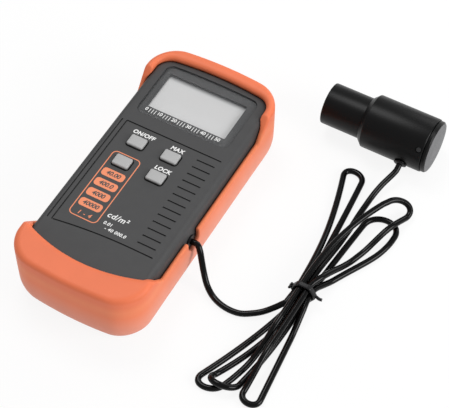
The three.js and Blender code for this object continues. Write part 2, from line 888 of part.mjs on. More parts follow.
// Main board and the parts on it
function addBoard() {
  const head = box(
    [-boardHeadWidth / 2, boardHeadWidth / 2],
    [boardHeadBottom, boardTop],
    [boardLower, boardUpper],
  );
  const waistPart = box(
    [-boardWaistWidth / 2, boardWaistWidth / 2],
    [boardBottom, boardHeadBottom + overrun],
    [boardLower, boardUpper],
  );
  const holes = boardScrewPlaces.map((place) => post(
    place,
    boardScrewRadius + gap,
    boardLower - overrun,
    boardUpper + overrun,
  ));
  add('main_board', cut(join(head, waistPart), ...holes), finishes.board);
  const chip = block([chipX, windowCentreY], [chipSide, chipSide, chipHeight], boardUpper + gap);
  add('converter_chip', chip, finishes.blackPlastic);
  const under = (height) => boardLower - gap - height;
  const amplifierSize = [amplifierWidth, amplifierLength, amplifierHeight];
  const amplifier = block([amplifierX, amplifierY], amplifierSize, under(amplifierHeight));
  add('amplifier_chip', amplifier, finishes.blackPlastic);
  const crystalPlace = [boardWaistWidth / 2 - crystalFromEdge, windowLow - crystalFromWindow];
  const crystalSize = [crystalWidth, crystalLength, crystalHeight];
  add('crystal', block(crystalPlace, crystalSize, boardUpper + gap), finishes.metal);
  for (const [name, way] of [['display_trimmer', 1], ['range_trimmer', -1]]) {
    const trimmerSize = [trimmerSide, trimmerSide, trimmerHeight];
    const centre = [way * trimmerX, windowLow - trimmerFromWindow];
    add(name, block(centre, trimmerSize, under(trimmerHeight)), finishes.blue);
  }
  boardScrewPlaces.forEach(([x, y], i) => {
    const fastener = screw(boardScrewHeadRadius, boardScrewHeadHeight, boardScrewRadius, boardScrewLength);
    add(`board_screw_${i + 1}`, fastener.translate(x, y, boardScrewBottom), finishes.metal);
  });
}

// Keys, each over a switch base with its own plunger
function addKeys() {
  const flangeTop = faceUnderside - gap;
  const flangeBottom = flangeTop - keyFlangeThickness;
  const keyTop = caseFace + keyProud;
  const plungerTop = flangeBottom - gap;
  const baseBottom = boardUpper + gap;
  const baseTop = baseBottom + switchHeight;
  const plungerBottom = baseBottom + gap + keyTravel + gap;
  const flangeGrow = 2 * (keyHoleClearance + keyFlangeLap);
  for (const [name, place] of Object.entries(keyPlaces)) {
    const flange = rectangle(place, keyWidth + flangeGrow, keyLength + flangeGrow, keyCornerRadius);
    const cap = rectangle(place, keyWidth, keyLength, keyCornerRadius);
    const crown = rectangle(
      place,
      keyWidth - 2 * keyChamfer,
      keyLength - 2 * keyChamfer,
      keyCornerRadius - keyChamfer,
    );
    add(`${name}_key`, loft([
      { z: flangeBottom, points: flange },
      { z: flangeTop, points: flange },
      { z: flangeTop, points: cap },
      { z: keyTop - keyChamfer, points: cap },
      { z: keyTop, points: crown },
    ]), finishes.key);
    const base = cut(
      block(place, [switchSide, switchSide, switchHeight], baseBottom),
      post(place, plungerRadius + gap, baseBottom + gap, baseTop + overrun),
    );
    add(`${name}_switch`, base, finishes.blackPlastic);
    add(`${name}_plunger`, post(place, plungerRadius, plungerBottom, plungerTop), finishes.blackPlastic);
  }
}

// Battery, its snap, its leads and the foam on the cover
function addBattery() {
  const middle = (batteryBottom + batteryTop) / 2;
  const terminal = (x, radius, height) => pointed(
    post([0, 0], radius, -overrun, height),
    new THREE.Vector3(x, batteryNear, middle),
    alongY,
  );
  const body = box(
    [-batteryWidth / 2, batteryWidth / 2],
    [batteryFar, batteryNear],
    [batteryBottom, batteryTop],
  );
  const studs = join(
    terminal(-terminalSpacing / 2, studRadius, terminalHeight),
    terminal(terminalSpacing / 2, socketRadius, terminalHeight),
  );
  add('battery', join(body, studs), finishes.battery);
  const snapFar = batteryNear + gap;
  const snap = cut(
    box(
      [-snapWidth / 2, snapWidth / 2],
      [snapFar, snapFar + snapThickness],
      [middle - snapHeight / 2, middle + snapHeight / 2],
    ),
    terminal(-terminalSpacing / 2, studRadius + gap, terminalHeight + gap),
    terminal(terminalSpacing / 2, socketRadius + gap, terminalHeight + gap),
  );
  add('battery_snap', snap, finishes.blackPlastic);
  const start = snapFar + snapThickness + gap;
  const end = boardBottom + leadReach;
  const leads = [['battery_lead_black', -1, finishes.cord], ['battery_lead_red', 1, finishes.red]];
  for (const [name, way, finish] of leads) {
    const x = way * terminalSpacing / 2;
    const route = [
      [x, start, middle],
      [x, start + 2 * leadRadius, middle],
      [x, end - leadRadius, (middle + boardLower) / 2],
      [x, end, boardLower - gap - 2 * leadRadius],
      [x, end, boardLower - gap],
    ];
    add(name, wire(route, leadRadius, hankSides, runSteps), finish);
  }
  const foamCentre = [0, (batteryFar + batteryNear) / 2];
  add('battery_foam', block(foamCentre, [foamWidth, foamLength, foamThickness], foamBottom), finishes.foam);
}

// Strain relief in the case's side and the cord inside the case
function addGland() {
  const inner = caseWidth / 2 - caseWall - gap;
  const outer = caseWidth / 2 + gap;
  const gland = turned([
    [0, inner - glandFlangeThickness],
    [glandFlangeRadius, inner - glandFlangeThickness],
    [glandFlangeRadius, inner],
    [glandNeckRadius, inner],
    [glandNeckRadius, outer],
    [glandCollarRadius, outer],
    [glandCollarRadius, outer + glandCollarThickness],
    [0, outer + glandCollarThickness],
  ], smallSides);
  add('cord_gland', pointed(gland, new THREE.Vector3(0, glandY, glandZ), alongX), finishes.blackPlastic);
  const start = inner - glandFlangeThickness - gap;
  const end = boardLower - gap;
  const landX = boardScrewX - cordDiameter - gap - boardScrewHeadRadius + cordRadius;
  const landY = boardBottom + cordDiameter + cordRadius;
  const route = [
    [start, glandY, glandZ],
    [start - cordDiameter, glandY, glandZ],
    [start - 2.5 * cordDiameter, glandY + cordRadius, glandZ - cordRadius],
    [landX + cordRadius, landY - cordDiameter, end - 1.7 * cordDiameter],
    [landX, landY, end - cordDiameter],
    [landX, landY, end],
  ];
  add('inner_cord', wire(route, cordRadius, hankSides, runSteps), finishes.cord);
}

// Probe, built along +Z from its mouth and then laid down along +X
function layProbe(geometry) {
  return pointed(geometry, new THREE.Vector3(probeMouthX, probeAxisY, probeAxisZ), alongX);
}

function radialPiece(profile, fromMouth, direction, sides) {
  const start = new THREE.Vector3(probeMouthX + fromMouth, probeAxisY, probeAxisZ);
  return pointed(turned(profile, sides), start, direction);
}

const dip = THREE.MathUtils.degToRad(grommetDip);
const grommetWay = new THREE.Vector3(0, -Math.cos(dip), -Math.sin(dip));
const rise = THREE.MathUtils.degToRad(grubRise);
const grubWay = new THREE.Vector3(0, -Math.cos(rise), Math.sin(rise));

function tubeProfile(inner, outer, from, to) {
  return [[inner, from], [outer, from], [outer, to], [inner, to], [inner, from]];
}

function addProbe() {
  const barrelTurned = turned([
    [barrelBore, barrelStart],
    [shoulderRadius, barrelStart],
    [barrelRadius, barrelStart + shoulderLength],
    [barrelRadius, barrelEnd - barrelEndChamfer],
    [barrelRadius - barrelEndChamfer, barrelEnd],
    [barrelBore, barrelEnd],
    [barrelBore, barrelStart],
  ]);
  const rod = (radius, from, to) => [[0, from], [radius, from], [radius, to], [0, to]];
  const throughWall = (radius) => rod(radius, barrelBore - overrun, barrelRadius + overrun);
  add('probe_barrel', cut(
    layProbe(barrelTurned),
    radialPiece(throughWall(grommetRadius + gap), grommetFromMouth, grommetWay, smallSides),
    radialPiece(throughWall(grubRadius + gap), grubFromMouth, grubWay, smallSides),
  ), finishes.probe);

  const ledgeStart = nosePlugEnd - noseLedgeLength;
  add('probe_nose', layProbe(turned([
    [noseBore, 0],
    [noseRadius, 0],
    [noseRadius, nosePlugEnd],
    [ledgeBore, nosePlugEnd],
    [ledgeBore, ledgeStart],
    [noseBore, ledgeStart],
    [noseBore, 0],
  ])), finishes.probe);

  const filterFront = ledgeStart - gap - filterThickness;
  const ringFront = filterFront - gap - ringThickness;
  const baffleFront = ringFront - gap - baffleThickness;
  const snug = noseBore - gap;
  const disc = (radius, from, thickness, sides) => (
    layProbe(turned(rod(radius, from, from + thickness), sides))
  );
  const washer = (hole, from, thickness) => (
    layProbe(turned(tubeProfile(hole, snug, from, from + thickness)))
  );
  add('probe_filter', disc(snug, filterFront, filterThickness), finishes.filter);
  add('probe_retaining_ring', washer(ledgeBore, ringFront, ringThickness), finishes.blackPlastic);
  add('probe_baffle', washer(baffleApertureRadius, baffleFront, baffleThickness), finishes.blackPlastic);

  const boardFront = nosePlugEnd + gap;
  add('probe_board', disc(sensorBoardRadius, boardFront, sensorBoardThickness), finishes.board);
  const diodeFront = boardFront - gap - diodeLength;
  add('probe_photodiode', disc(diodeRadius, diodeFront, diodeLength, smallSides), finishes.metal);

  const plugRadius = barrelBore - gap;
  const discRadius = barrelRadius - endDiscInset;
  const discStart = barrelEnd + gap;
  const dent = rod(grubRadius + gap, plugRadius - grubRecess, plugRadius + overrun);
  add('probe_end_disc', cut(layProbe(turned([
    [0, discStart - endPlugLength],
    [plugRadius, discStart - endPlugLength],
    [plugRadius, discStart],
    [discRadius, discStart],
    [discRadius, discStart + endDiscThickness - gap],
    [discRadius - gap, discStart + endDiscThickness],
    [0, discStart + endDiscThickness],
  ])), radialPiece(dent, grubFromMouth, grubWay, smallSides)), finishes.disc);
  const grub = rod(grubRadius, plugRadius - grubRecess + gap, barrelRadius - grubRecess);
  add('probe_grub_screw', radialPiece(grub, grubFromMouth, grubWay, smallSides), finishes.metal);
  add('probe_grommet', radialPiece([
    [0, barrelRadius - grommetDepth],
    [grommetRadius, barrelRadius - grommetDepth],
    [grommetRadius, barrelRadius + gap],
    [grommetCollarRadius, barrelRadius + gap],
    [grommetRadius, barrelRadius + gap + grommetCollarHeight],
    [0, barrelRadius + gap + grommetCollarHeight],
  ], grommetFromMouth, grommetWay, smallSides), finishes.blackPlastic);

  const centre = new THREE.Vector3(probeMouthX + grommetFromMouth, probeAxisY, probeAxisZ);
  const inward = (radius, back) => centre.clone()
    .addScaledVector(grommetWay, radius)
    .setX(centre.x - back)
    .toArray();
  const boardBack = grommetFromMouth - boardFront - sensorBoardThickness - gap;
  add('probe_inner_cord', wire([
    inward(barrelRadius - grommetDepth - gap, 0),
    inward(barrelRadius - grommetDepth - cordDiameter, 0),
    inward(cordRadius, 2 * cordDiameter),
    inward(0, boardBack - cordDiameter),
    inward(0, boardBack),
  ], cordRadius, hankSides, runSteps), finishes.cord);
}

// Hank. A strand goes out from its slot in the packed waist to one side of a fold. Spread is how far it has
// moved sideways where the fold starts, late the power of that move, and swing how much of it follows an
// even swing instead. It comes down from the waist between down[0] and down[1], and hump lifts it over a
// crossing: centre, half length, height. The folds are listed in the order in which the cord runs through
// them, their lengths in cord diameters.
const slots = {
  middleLeft: [-strandPitch, rowHeight],
  middle: [0, rowHeight],
  middleRight: [strandPitch, rowHeight],
  lowLeft: [-strandPitch / 2, 0],
  lowRight: [strandPitch / 2, 0],
  topLeft: [-strandPitch / 2, 2 * rowHeight],
  topRight: [strandPitch / 2, 2 * rowHeight],
};
const strand = (slot, spread, late, down, extra = {}) => ({ slot, spread, late, down, swing: 0, ...extra });
const foldShares = [
  {
    way: 1,
    run: 24.6,
    out: strand('middleLeft', -4.15, 1.83, [0.7, 16.3]),
    back: strand('lowLeft', -1.4, 1.53, [1.7, 6.7]),
  },
  {
    way: -1,
    run: 20,
    out: strand('lowLeft', -6.4, 1.4, [0.3, 4.3]),
    back: strand('topLeft', -2.5, 3.1, [6.2, 16]),
  },
  {
    way: 1,
    run: 21.6,
    out: strand('topLeft', 4.7, 2.3, [21, 24.8]),
    back: strand('topRight', 7.2, 1.1, [2.2, 10.3], { hump: [17.8, 6, 1.4] }),
  },
  {
    way: -1,
    run: 19.7,
    out: strand('topRight', -0.5, 1.7, [12, 21.3]),
    back: strand('middleRight', 1.8, 1, [1, 8.2]),
  },
  {
    way: 1,
    run: 17,
    out: strand('middleRight', 6.5, 0.6, [0.4, 5.4], { swing: 0.9 }),
    back: strand('lowRight', 1.5, 1.1, [0, 4.8]),
  },
  {
    way: -1,
    run: 19.1,
    crown: 1.3,
    out: strand('lowRight', -1.7, 2.4, [0.8, 5.1]),
    back: strand('middle', -5.2, 2, [0.2, 10.2]),
  },
];
const tailShares = strand('middle', 0.4, 1.4, [3.4, 13]);
const ease = (t) => THREE.MathUtils.smoothstep(t, 0, 1);

function strandPlace(shares, out, run) {
  const [slotX, slotZ] = slots[shares.slot];
  const part = out / run;
  const moved = (1 - shares.swing) * part ** shares.late + shares.swing * ease(part);
  const x = slotX + shares.spread * cordDiameter * moved * ease(out / drawIn);
  const [from, to] = shares.down.map((share) => share * cordDiameter);
  let z = cordRest + (lowRow + slotZ - cordRest) * (1 - ease((out - from) / (to - from)));
  if (shares.hump) {
    const [centre, half, height] = shares.hump.map((share) => share * cordDiameter);
    const off = Math.min(Math.abs(out - centre) / half, 1);
    z += height * ease(1 - off);
  }
  return new THREE.Vector3(x, out, z);
}

function strandPoints(shares, run, steps) {
  return Array.from({ length: steps + 1 }, (_, i) => strandPlace(shares, (run * i) / steps, run));
}

// The bend at a fold's far end carries on both strands' slopes.
function bend(out, back, crown) {
  const from = out.at(-1);
  const to = back.at(-1);
  const reach = (2 / 3) * from.distanceTo(to);
  const handle = (points) => points.at(-1).clone()
    .addScaledVector(points.at(-1).clone().sub(points.at(-2)).setZ(0).normalize(), reach);
  const curve = new THREE.CubicBezierCurve3(from, handle(out), handle(back), to);
  return Array.from({ length: foldSteps - 1 }, (_, i) => {
    const share = (i + 1) / foldSteps;
    const point = curve.getPoint(share);
    return point.setZ(THREE.MathUtils.lerp(from.z, to.z, ease(share)) + crown * Math.sin(Math.PI * share));
  });
}

function hankRoute() {
  const place = (way) => (p) => new THREE.Vector3(waistX + p.x, waistY + way * p.y, p.z);
  const start = strandPlace(foldShares[0].out, 0, 1);
  const points = [new THREE.Vector3(start.x - leadInLean, -leadIn, start.z)].map(place(1));
  for (const fold of foldShares) {
    const run = fold.run * cordDiameter;
    const out = strandPoints(fold.out, run, runSteps);
    const back = strandPoints(fold.back, run, runSteps);
    const path = [...out, ...bend(out, back, (fold.crown ?? 0) * cordDiameter), ...back.reverse()];
    points.push(...path.slice(fold === foldShares[0] ? 0 : 1).map(place(fold.way)));
  }
  points.push(...strandPoints(tailShares, tailRun, foldSteps).slice(1).map(place(1)));
  return points;
}

// A tube through the points, its section upright at each.
function tube(points, radius, sides) {
  const section = ringPoints(radius, sides);
  const up = new THREE.Vector3(0, 0, 1);
  const places = points.flatMap((point, i) => {
    const before = points[Math.max(i - 1, 0)];
    const after = points[Math.min(i + 1, points.length - 1)];
    const ahead = after.clone().sub(before).normalize();
    const side = ahead.clone().cross(up).normalize();
    const top = side.clone().cross(ahead);
    return section.flatMap((p) => point.clone()
      .addScaledVector(side, p.x)
      .addScaledVector(top, p.y)
      .toArray());
  });
  const faces = [];
  for (let ring = 1; ring < points.length; ring += 1) {
    for (let i = 0; i < sides; i += 1) {
      const j = (i + 1) % sides;
      const lower = (ring - 1) * sides;
      const upper = ring * sides;
      faces.push(lower + i, upper + i, upper + j, lower + i, upper + j, lower + j);
    }
  }
  const last = (points.length - 1) * sides;
  for (let i = 1; i < sides - 1; i += 1) faces.push(0, i, i + 1, last, last + i + 1, last + i);
  const geometry = new THREE.BufferGeometry();
  geometry.setAttribute('position', new THREE.Float32BufferAttribute(places, 3));
  geometry.setIndex(faces);
  return geometry;
}

// The least distance between surfaces of lengths of the route that aren't neighbours.
function leastGap(points) {
  const path = new THREE.CurvePath();
  for (let i = 1; i < points.length; i += 1) path.add(new THREE.LineCurve3(points[i - 1], points[i]));
  const pace = cordDiameter / 5;
  const length = path.getLength();
  const count = Math.floor(length / pace);
  const samples = Array.from({ length: count }, (_, i) => path.getPoint((i * pace) / length));
  const apart = Math.round((4 * cordDiameter) / pace);
  let least = Infinity;
  for (let i = 0; i < samples.length; i += 1) {
    for (let j = i + apart; j < samples.length; j += 1) {
      least = Math.min(least, samples[i].distanceTo(samples[j]));
    }
  }
  console.log(`hank: length ${length.toFixed(1)}, least gap ${(least - cordDiameter).toFixed(2)}`);
}

// A ring round the packed waist, with the knot at its left and a twisted end at its right.
function tie() {
  const band = (grow) => Array.from({ length: 6 * tieArcSteps }, (_, i) => {
    const corner = Math.floor(i / tieArcSteps) * (Math.PI / 3);
    const angle = corner + (Math.PI / 3) * ((i % tieArcSteps) / (tieArcSteps - 1) - halfShare);
    const reach = cordRadius + gap + grow;
    return new THREE.Vector2(
      waistX + strandPitch * Math.cos(corner) + reach * Math.cos(angle),
      waistHeight + strandPitch * Math.sin(corner) + reach * Math.sin(angle),
    );
  });
  const outer = new THREE.Shape(band(tieThickness));
  outer.holes.push(new THREE.Path(band(0)));
  const ring = new THREE.ExtrudeGeometry(outer, { depth: tieWidth, bevelEnabled: false })
    .rotateX(Math.PI / 2)
    .translate(0, waistY + tieWidth / 2, 0);
  const inside = strandPitch + cordRadius + gap;
  const knotProfile = [
    [0, -knotLength / 2],
    [knotRadius, -knotLength / 4],
    [knotRadius, knotLength / 4],
    [0, knotLength / 2],
  ];
  const knot = pointed(
    turned(knotProfile, smallSides),
    new THREE.Vector3(waistX - inside - knotRadius, waistY, waistHeight),
    alongY,
  );
  const twist = pointed(
    post([0, 0], twistRadius, tieThickness / 2, twistLength),
    new THREE.Vector3(waistX + inside, waistY, waistHeight),
    alongX,
  );
  return join(ring, knot, twist);
}

// Cord outside the case, from the strain relief through the hank to the probe
function addCord() {
  const route = hankRoute();
  leastGap(route);
  add('cord_hank', tube(route, cordRadius, hankSides), finishes.cord);
  add('cord_tie', tie(), finishes.blackPlastic);
  const onward = (from, to, distance) => to.clone()
    .addScaledVector(to.clone().sub(from).normalize(), distance);
  const leadStart = caseWidth / 2 + gap + glandCollarThickness + gap;
  const lead = [
    [leadStart, glandY, glandZ],
    [leadStart + cordDiameter, glandY, glandZ],
    ...leadRoute,
    onward(route[1], route[0], gap + cordDiameter).toArray(),
    onward(route[1], route[0], gap).toArray(),
  ];
  add('cord_lead', wire(lead, cordRadius, cordSides, leadSteps), finishes.cord);
  const grommetFace = barrelRadius + gap + grommetCollarHeight;
  const probeEnd = new THREE.Vector3(probeMouthX + grommetFromMouth, probeAxisY, probeAxisZ);
  const level = route.at(-2).clone().setZ(route.at(-1).z);
  const tail = [
    onward(level, route.at(-1), gap).toArray(),
    onward(level, route.at(-1), gap + cordDiameter).toArray(),
    ...tailRoute,
    probeEnd.clone().addScaledVector(grommetWay, grommetFace + gap + cordDiameter).toArray(),
    probeEnd.clone().addScaledVector(grommetWay, grommetFace + gap).toArray(),
  ];
  add('cord_tail', wire(tail, cordRadius, cordSides, tailSteps), finishes.cord);
}

addCase();
addDisplay();
addBoard();
addKeys();
addBattery();
addGland();
addProbe();
addCord();

export default group;
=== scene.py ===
"""A handheld luminance meter in an orange rubber holster, its probe lying beside it on a tied hank of cord.

Sizes are written in millimetres, in the object's own frame, and turned into metres where meshes are made.
"""

import json
import math

import bmesh
import bpy
from mathutils import Matrix, Vector

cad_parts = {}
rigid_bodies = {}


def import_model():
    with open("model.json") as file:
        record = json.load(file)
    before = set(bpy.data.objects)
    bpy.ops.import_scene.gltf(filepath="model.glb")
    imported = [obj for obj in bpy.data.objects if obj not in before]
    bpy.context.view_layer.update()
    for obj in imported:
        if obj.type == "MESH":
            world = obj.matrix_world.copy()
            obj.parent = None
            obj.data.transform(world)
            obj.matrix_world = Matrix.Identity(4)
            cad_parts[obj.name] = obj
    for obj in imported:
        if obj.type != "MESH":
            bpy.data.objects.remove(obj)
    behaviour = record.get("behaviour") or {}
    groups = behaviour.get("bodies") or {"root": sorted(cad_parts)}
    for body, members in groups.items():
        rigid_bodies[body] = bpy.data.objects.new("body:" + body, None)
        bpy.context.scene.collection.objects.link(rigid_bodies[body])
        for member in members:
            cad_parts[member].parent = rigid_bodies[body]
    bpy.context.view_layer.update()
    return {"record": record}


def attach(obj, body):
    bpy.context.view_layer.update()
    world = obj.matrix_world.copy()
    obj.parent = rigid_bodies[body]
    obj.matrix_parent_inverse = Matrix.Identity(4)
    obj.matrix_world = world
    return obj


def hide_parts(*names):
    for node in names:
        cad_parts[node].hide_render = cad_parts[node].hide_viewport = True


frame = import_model()
MM = 0.001
PHOTO_WIDTH = 449
FOCAL_PIXELS = 1604
SENSOR = 36
# The camera's place and axes, fitted to the outlines in the photograph
CAMERA_PLACE = Vector((0.2591, -0.3869, 0.6430))
CAMERA_RIGHT = Vector((0.8717, 0.4901, 0.0))
CAMERA_UP = Vector((-0.3959, 0.7040, 0.5896))
CAMERA_BACK = Vector((0.2890, -0.5140, 0.8077))


# Camera
def make_camera():
    data = bpy.data.cameras.new("camera")
    data.sensor_width = SENSOR
    data.lens = SENSOR * FOCAL_PIXELS / PHOTO_WIDTH
    data.clip_start = 0.01
    data.clip_end = 20
    camera = bpy.data.objects.new("camera", data)
    turn = Matrix((CAMERA_RIGHT, CAMERA_UP, CAMERA_BACK)).transposed().to_4x4()
    camera.matrix_world = Matrix.Translation(CAMERA_PLACE) @ turn
    bpy.context.scene.collection.objects.link(camera)
    bpy.context.scene.camera = camera


make_camera()


# Materials
def node_material(name, build):
    made = bpy.data.materials.new(name)
    made.use_nodes = True
    tree = made.node_tree
    shader = tree.nodes["Principled BSDF"]
    build(tree, shader)
    return made


def link(tree, source, target):
    tree.links.new(source, target)


def add_node(tree, kind, **inputs):
    made = tree.nodes.new(kind)
    for key, value in inputs.items():
        made.inputs[key.replace("_", " ")].default_value = value
    return made


def noise(tree, scale, detail=3.0, roughness=0.55):
    coordinates = tree.nodes.new("ShaderNodeTexCoord")
    texture = add_node(tree, "ShaderNodeTexNoise", Scale=scale, Detail=detail, Roughness=roughness)
    link(tree, coordinates.outputs["Object"], texture.inputs["Vector"])
    return texture


def object_axes(tree):
    """Outputs X, Y and Z of the place on the object, in metres."""
    coordinates = tree.nodes.new("ShaderNodeTexCoord")
    split = tree.nodes.new("ShaderNodeSeparateXYZ")
    link(tree, coordinates.outputs["Object"], split.inputs["Vector"])
    return split.outputs


def soft_step(tree, value, start, stop):
    """0 up to start and 1 from stop on, with a smooth change between."""
    step = add_node(tree, "ShaderNodeMapRange", From_Min=start, From_Max=stop)
    step.interpolation_type = "SMOOTHSTEP"
    link(tree, value, step.inputs["Value"])
    return step.outputs["Result"]


def mixed(tree, factor, first, second):
    mix = tree.nodes.new("ShaderNodeMix")
    mix.data_type = "RGBA"
    mix.inputs[6].default_value = (*first, 1)
    mix.inputs[7].default_value = (*second, 1)
    link(tree, factor, mix.inputs[0])
    return mix.outputs[2]


def shade(colour, factor):
    return tuple(part * factor for part in colour)


def bumped(tree, shader, height, strength, distance):
    bump = add_node(tree, "ShaderNodeBump", Strength=strength, Distance=distance)
    link(tree, height, bump.inputs["Height"])
    link(tree, bump.outputs["Normal"], shader.inputs["Normal"])


GRAIN_DEPTH = 0.00008
GRAINS_PER_MOTTLE = 12


def plain(name, colour, rough, metal=0.0, grain=900.0, relief=0.15, vary=0.08, specular=0.5):
    """A finish with faint mottling and a fine grain that breaks up its highlights."""

    def build(tree, shader):
        shader.inputs["Roughness"].default_value = rough
        shader.inputs["Metallic"].default_value = metal
        shader.inputs["Specular IOR Level"].default_value = specular
        mottle = noise(tree, grain / GRAINS_PER_MOTTLE)
        colours = mixed(tree, mottle.outputs["Fac"], shade(colour, 1 - vary), shade(colour, 1 + vary))
        link(tree, colours, shader.inputs["Base Color"])
        bumped(tree, shader, noise(tree, grain).outputs["Fac"], relief, GRAIN_DEPTH)

    return node_material(name, build)


HOLSTER_TOP = 0.036
# Colours of the rubber at shares of the holster's height, with painted light and shade: paler and pinker
# towards the floor, deeper from mid height up
RUBBER_PAINTED_SHADING = [
    (0.0, (0.83, 0.34, 0.245)),
    (0.35, (0.82, 0.285, 0.185)),
    (0.60, (0.86, 0.218, 0.095)),
    (0.74, (0.86, 0.235, 0.100)),
    (0.86, (0.83, 0.190, 0.080)),
    (1.0, (0.83, 0.190, 0.080)),
]


def rubber(tree, shader):
    """Orange rubber with painted shading by height: paler and pinker towards the floor, deeper from mid
    height up.
    """
    shader.inputs["Roughness"].default_value = 0.52
    shader.inputs["Specular IOR Level"].default_value = 0.35
    height = add_node(tree, "ShaderNodeMapRange", From_Max=HOLSTER_TOP)
    link(tree, object_axes(tree)["Z"], height.inputs["Value"])
    # This ramp paints the rubber's light and shade by height
    ramp = tree.nodes.new("ShaderNodeValToRGB")
    elements = ramp.color_ramp.elements
    while len(elements) < len(RUBBER_PAINTED_SHADING):
        elements.new(0.5)
    for element, (position, colour) in zip(elements, RUBBER_PAINTED_SHADING):
        element.position = position
        element.color = (*colour, 1)
    link(tree, height.outputs["Result"], ramp.inputs["Fac"])
    mottle = noise(tree, 60)
    level = add_node(tree, "ShaderNodeMapRange", To_Min=0.94, To_Max=1.06)
    link(tree, mottle.outputs["Fac"], level.inputs["Value"])
    scaled = tree.nodes.new("ShaderNodeVectorMath")
    scaled.operation = "SCALE"
    link(tree, ramp.outputs["Color"], scaled.inputs[0])
    link(tree, level.outputs["Result"], scaled.inputs["Scale"])
    link(tree, scaled.outputs["Vector"], shader.inputs["Base Color"])
    bumped(tree, shader, noise(tree, 1400, detail=2).outputs["Fac"], 0.12, 0.00006)


def clear(tree, shader):
    """Window plastic: thin enough to let light straight through, with a faint gloss."""
    shader.inputs["Base Color"].default_value = (0.25, 0.26, 0.27, 1)
    shader.inputs["Roughness"].default_value = 0.12
    shader.inputs["Alpha"].default_value = 0.07
    bumped(tree, shader, noise(tree, 40).outputs["Fac"], 0.02, 0.00005)


# Where the painted shadow of the recess on the display begins and ends, in metres
DISPLAY_LEFT_PAINTED_SHADOW = (-0.0240, -0.0222)
DISPLAY_TOP_PAINTED_SHADOW = (0.0600, 0.0564)


def liquid_crystal(tree, shader):
    """Light grey display with a painted shadow of its recess along its upper and left edges."""
    shader.inputs["Roughness"].default_value = 0.5
    place = object_axes(tree)
    both = tree.nodes.new("ShaderNodeMath")
    both.operation = "MULTIPLY"
    link(tree, soft_step(tree, place["X"], *DISPLAY_LEFT_PAINTED_SHADOW), both.inputs[0])
    link(tree, soft_step(tree, place["Y"], *DISPLAY_TOP_PAINTED_SHADOW), both.inputs[1])
    # The dark colour is the painted shadow of the recess
    colours = mixed(tree, both.outputs["Value"], (0.12, 0.12, 0.125), (0.70, 0.70, 0.70))
    link(tree, colours, shader.inputs["Base Color"])


# Painted shade on the key's sides: they change from dark to light between these heights, in metres
KEY_SIDE_PAINTED_SHADE = (0.0333, 0.0340)


def key_grey(tree, shader):
    """Light grey key, with painted shade on the part of its sides that stands in its hole."""
    shader.inputs["Roughness"].default_value = 0.5
    height = soft_step(tree, object_axes(tree)["Z"], *KEY_SIDE_PAINTED_SHADE)
    # The dark colour is painted shade in the gap round the key
    colours = mixed(tree, height, (0.03, 0.03, 0.03), (0.41, 0.41, 0.41))
    link(tree, colours, shader.inputs["Base Color"])
    bumped(tree, shader, noise(tree, 1800).outputs["Fac"], 0.25, GRAIN_DEPTH)


def green_glass(tree, shader):
    shader.inputs["Base Color"].default_value = (0.45, 0.8, 0.58, 1)
    shader.inputs["Roughness"].default_value = 0.05
    shader.inputs["Transmission Weight"].default_value = 0.9
    bumped(tree, shader, noise(tree, 60).outputs["Fac"], 0.02, 0.00005)


PLAIN_FINISHES = {
    "case_plastic": dict(colour=(0.0425, 0.0425, 0.0437), rough=0.60, grain=2200, relief=0.6, vary=0.12),
    "black_plastic": dict(colour=(0.008, 0.008, 0.0085), rough=0.42, relief=0.2, specular=0.25),
    "conductive_rubber": dict(colour=(0.03, 0.03, 0.032), rough=0.7),
    "board_laminate": dict(colour=(0.015, 0.12, 0.04), rough=0.4, grain=300, vary=0.2),
    "zinc_steel": dict(colour=(0.55, 0.55, 0.56), rough=0.35, metal=1.0),
    "nickel_can": dict(colour=(0.62, 0.62, 0.63), rough=0.25, metal=1.0),
    "battery_jacket": dict(colour=(0.03, 0.05, 0.1), rough=0.35, grain=400),
    "lead_red": dict(colour=(0.45, 0.02, 0.015), rough=0.45),
    "lead_black": dict(colour=(0.012, 0.012, 0.012), rough=0.45),
    "foam": dict(colour=(0.04, 0.04, 0.042), rough=0.95, grain=1500, relief=0.9, vary=0.3),
    "cord_jacket": dict(
        colour=(0.002, 0.002, 0.0022), rough=0.16, grain=1600, relief=0.12, vary=0.15, specular=0.19,
    ),
    "tie_plastic": dict(colour=(0.008, 0.008, 0.009), rough=0.36, grain=1400, relief=0.3, specular=0.3),
    "probe_paint": dict(
        colour=(0.003, 0.003, 0.0032), rough=0.36, grain=2400, relief=0.25, vary=0.12, specular=0.18,
    ),
    "disc_aluminium": dict(
        colour=(0.15, 0.15, 0.154), rough=0.6, metal=0.2, grain=1900, relief=0.8, vary=0.3,
    ),
    "trimmer_blue": dict(colour=(0.03, 0.12, 0.4), rough=0.4),
}
SHADED_FINISHES = {
    "holster_rubber": rubber,
    "key_plastic": key_grey,
    "window_plastic": clear,
    "display_glass": liquid_crystal,
    "filter_glass": green_glass,
}
FINISHES = {name: plain(name, **values) for name, values in PLAIN_FINISHES.items()}
FINISHES.update((name, node_material(name, build)) for name, build in SHADED_FINISHES.items())
# Finishes that no slot has: the dark grub screw and the printing
GRUB_STEEL = plain("grub_steel", (0.07, 0.07, 0.072), 0.35, metal=1.0)
PRINT_SALMON = plain("print_salmon", (0.86, 0.26, 0.115), 0.5, relief=0.1, vary=0.05)
PRINT_WHITE = plain("print_white", (0.86, 0.86, 0.85), 0.5, relief=0.1, vary=0.03)
PRINT_DARK = plain("print_dark", (0.055, 0.045, 0.042), 0.5, relief=0.1, vary=0.05)


# Making and handing over pieces
def hand_over(piece, slot, body="meter", nodes=(), material=None):
    """Gives a piece its finish, its body and the nodes that it stands for."""
    piece.data.materials.clear()
    piece.data.materials.append(material or FINISHES[slot])
    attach(piece, body)
    if nodes:
        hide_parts(*nodes)
    return piece


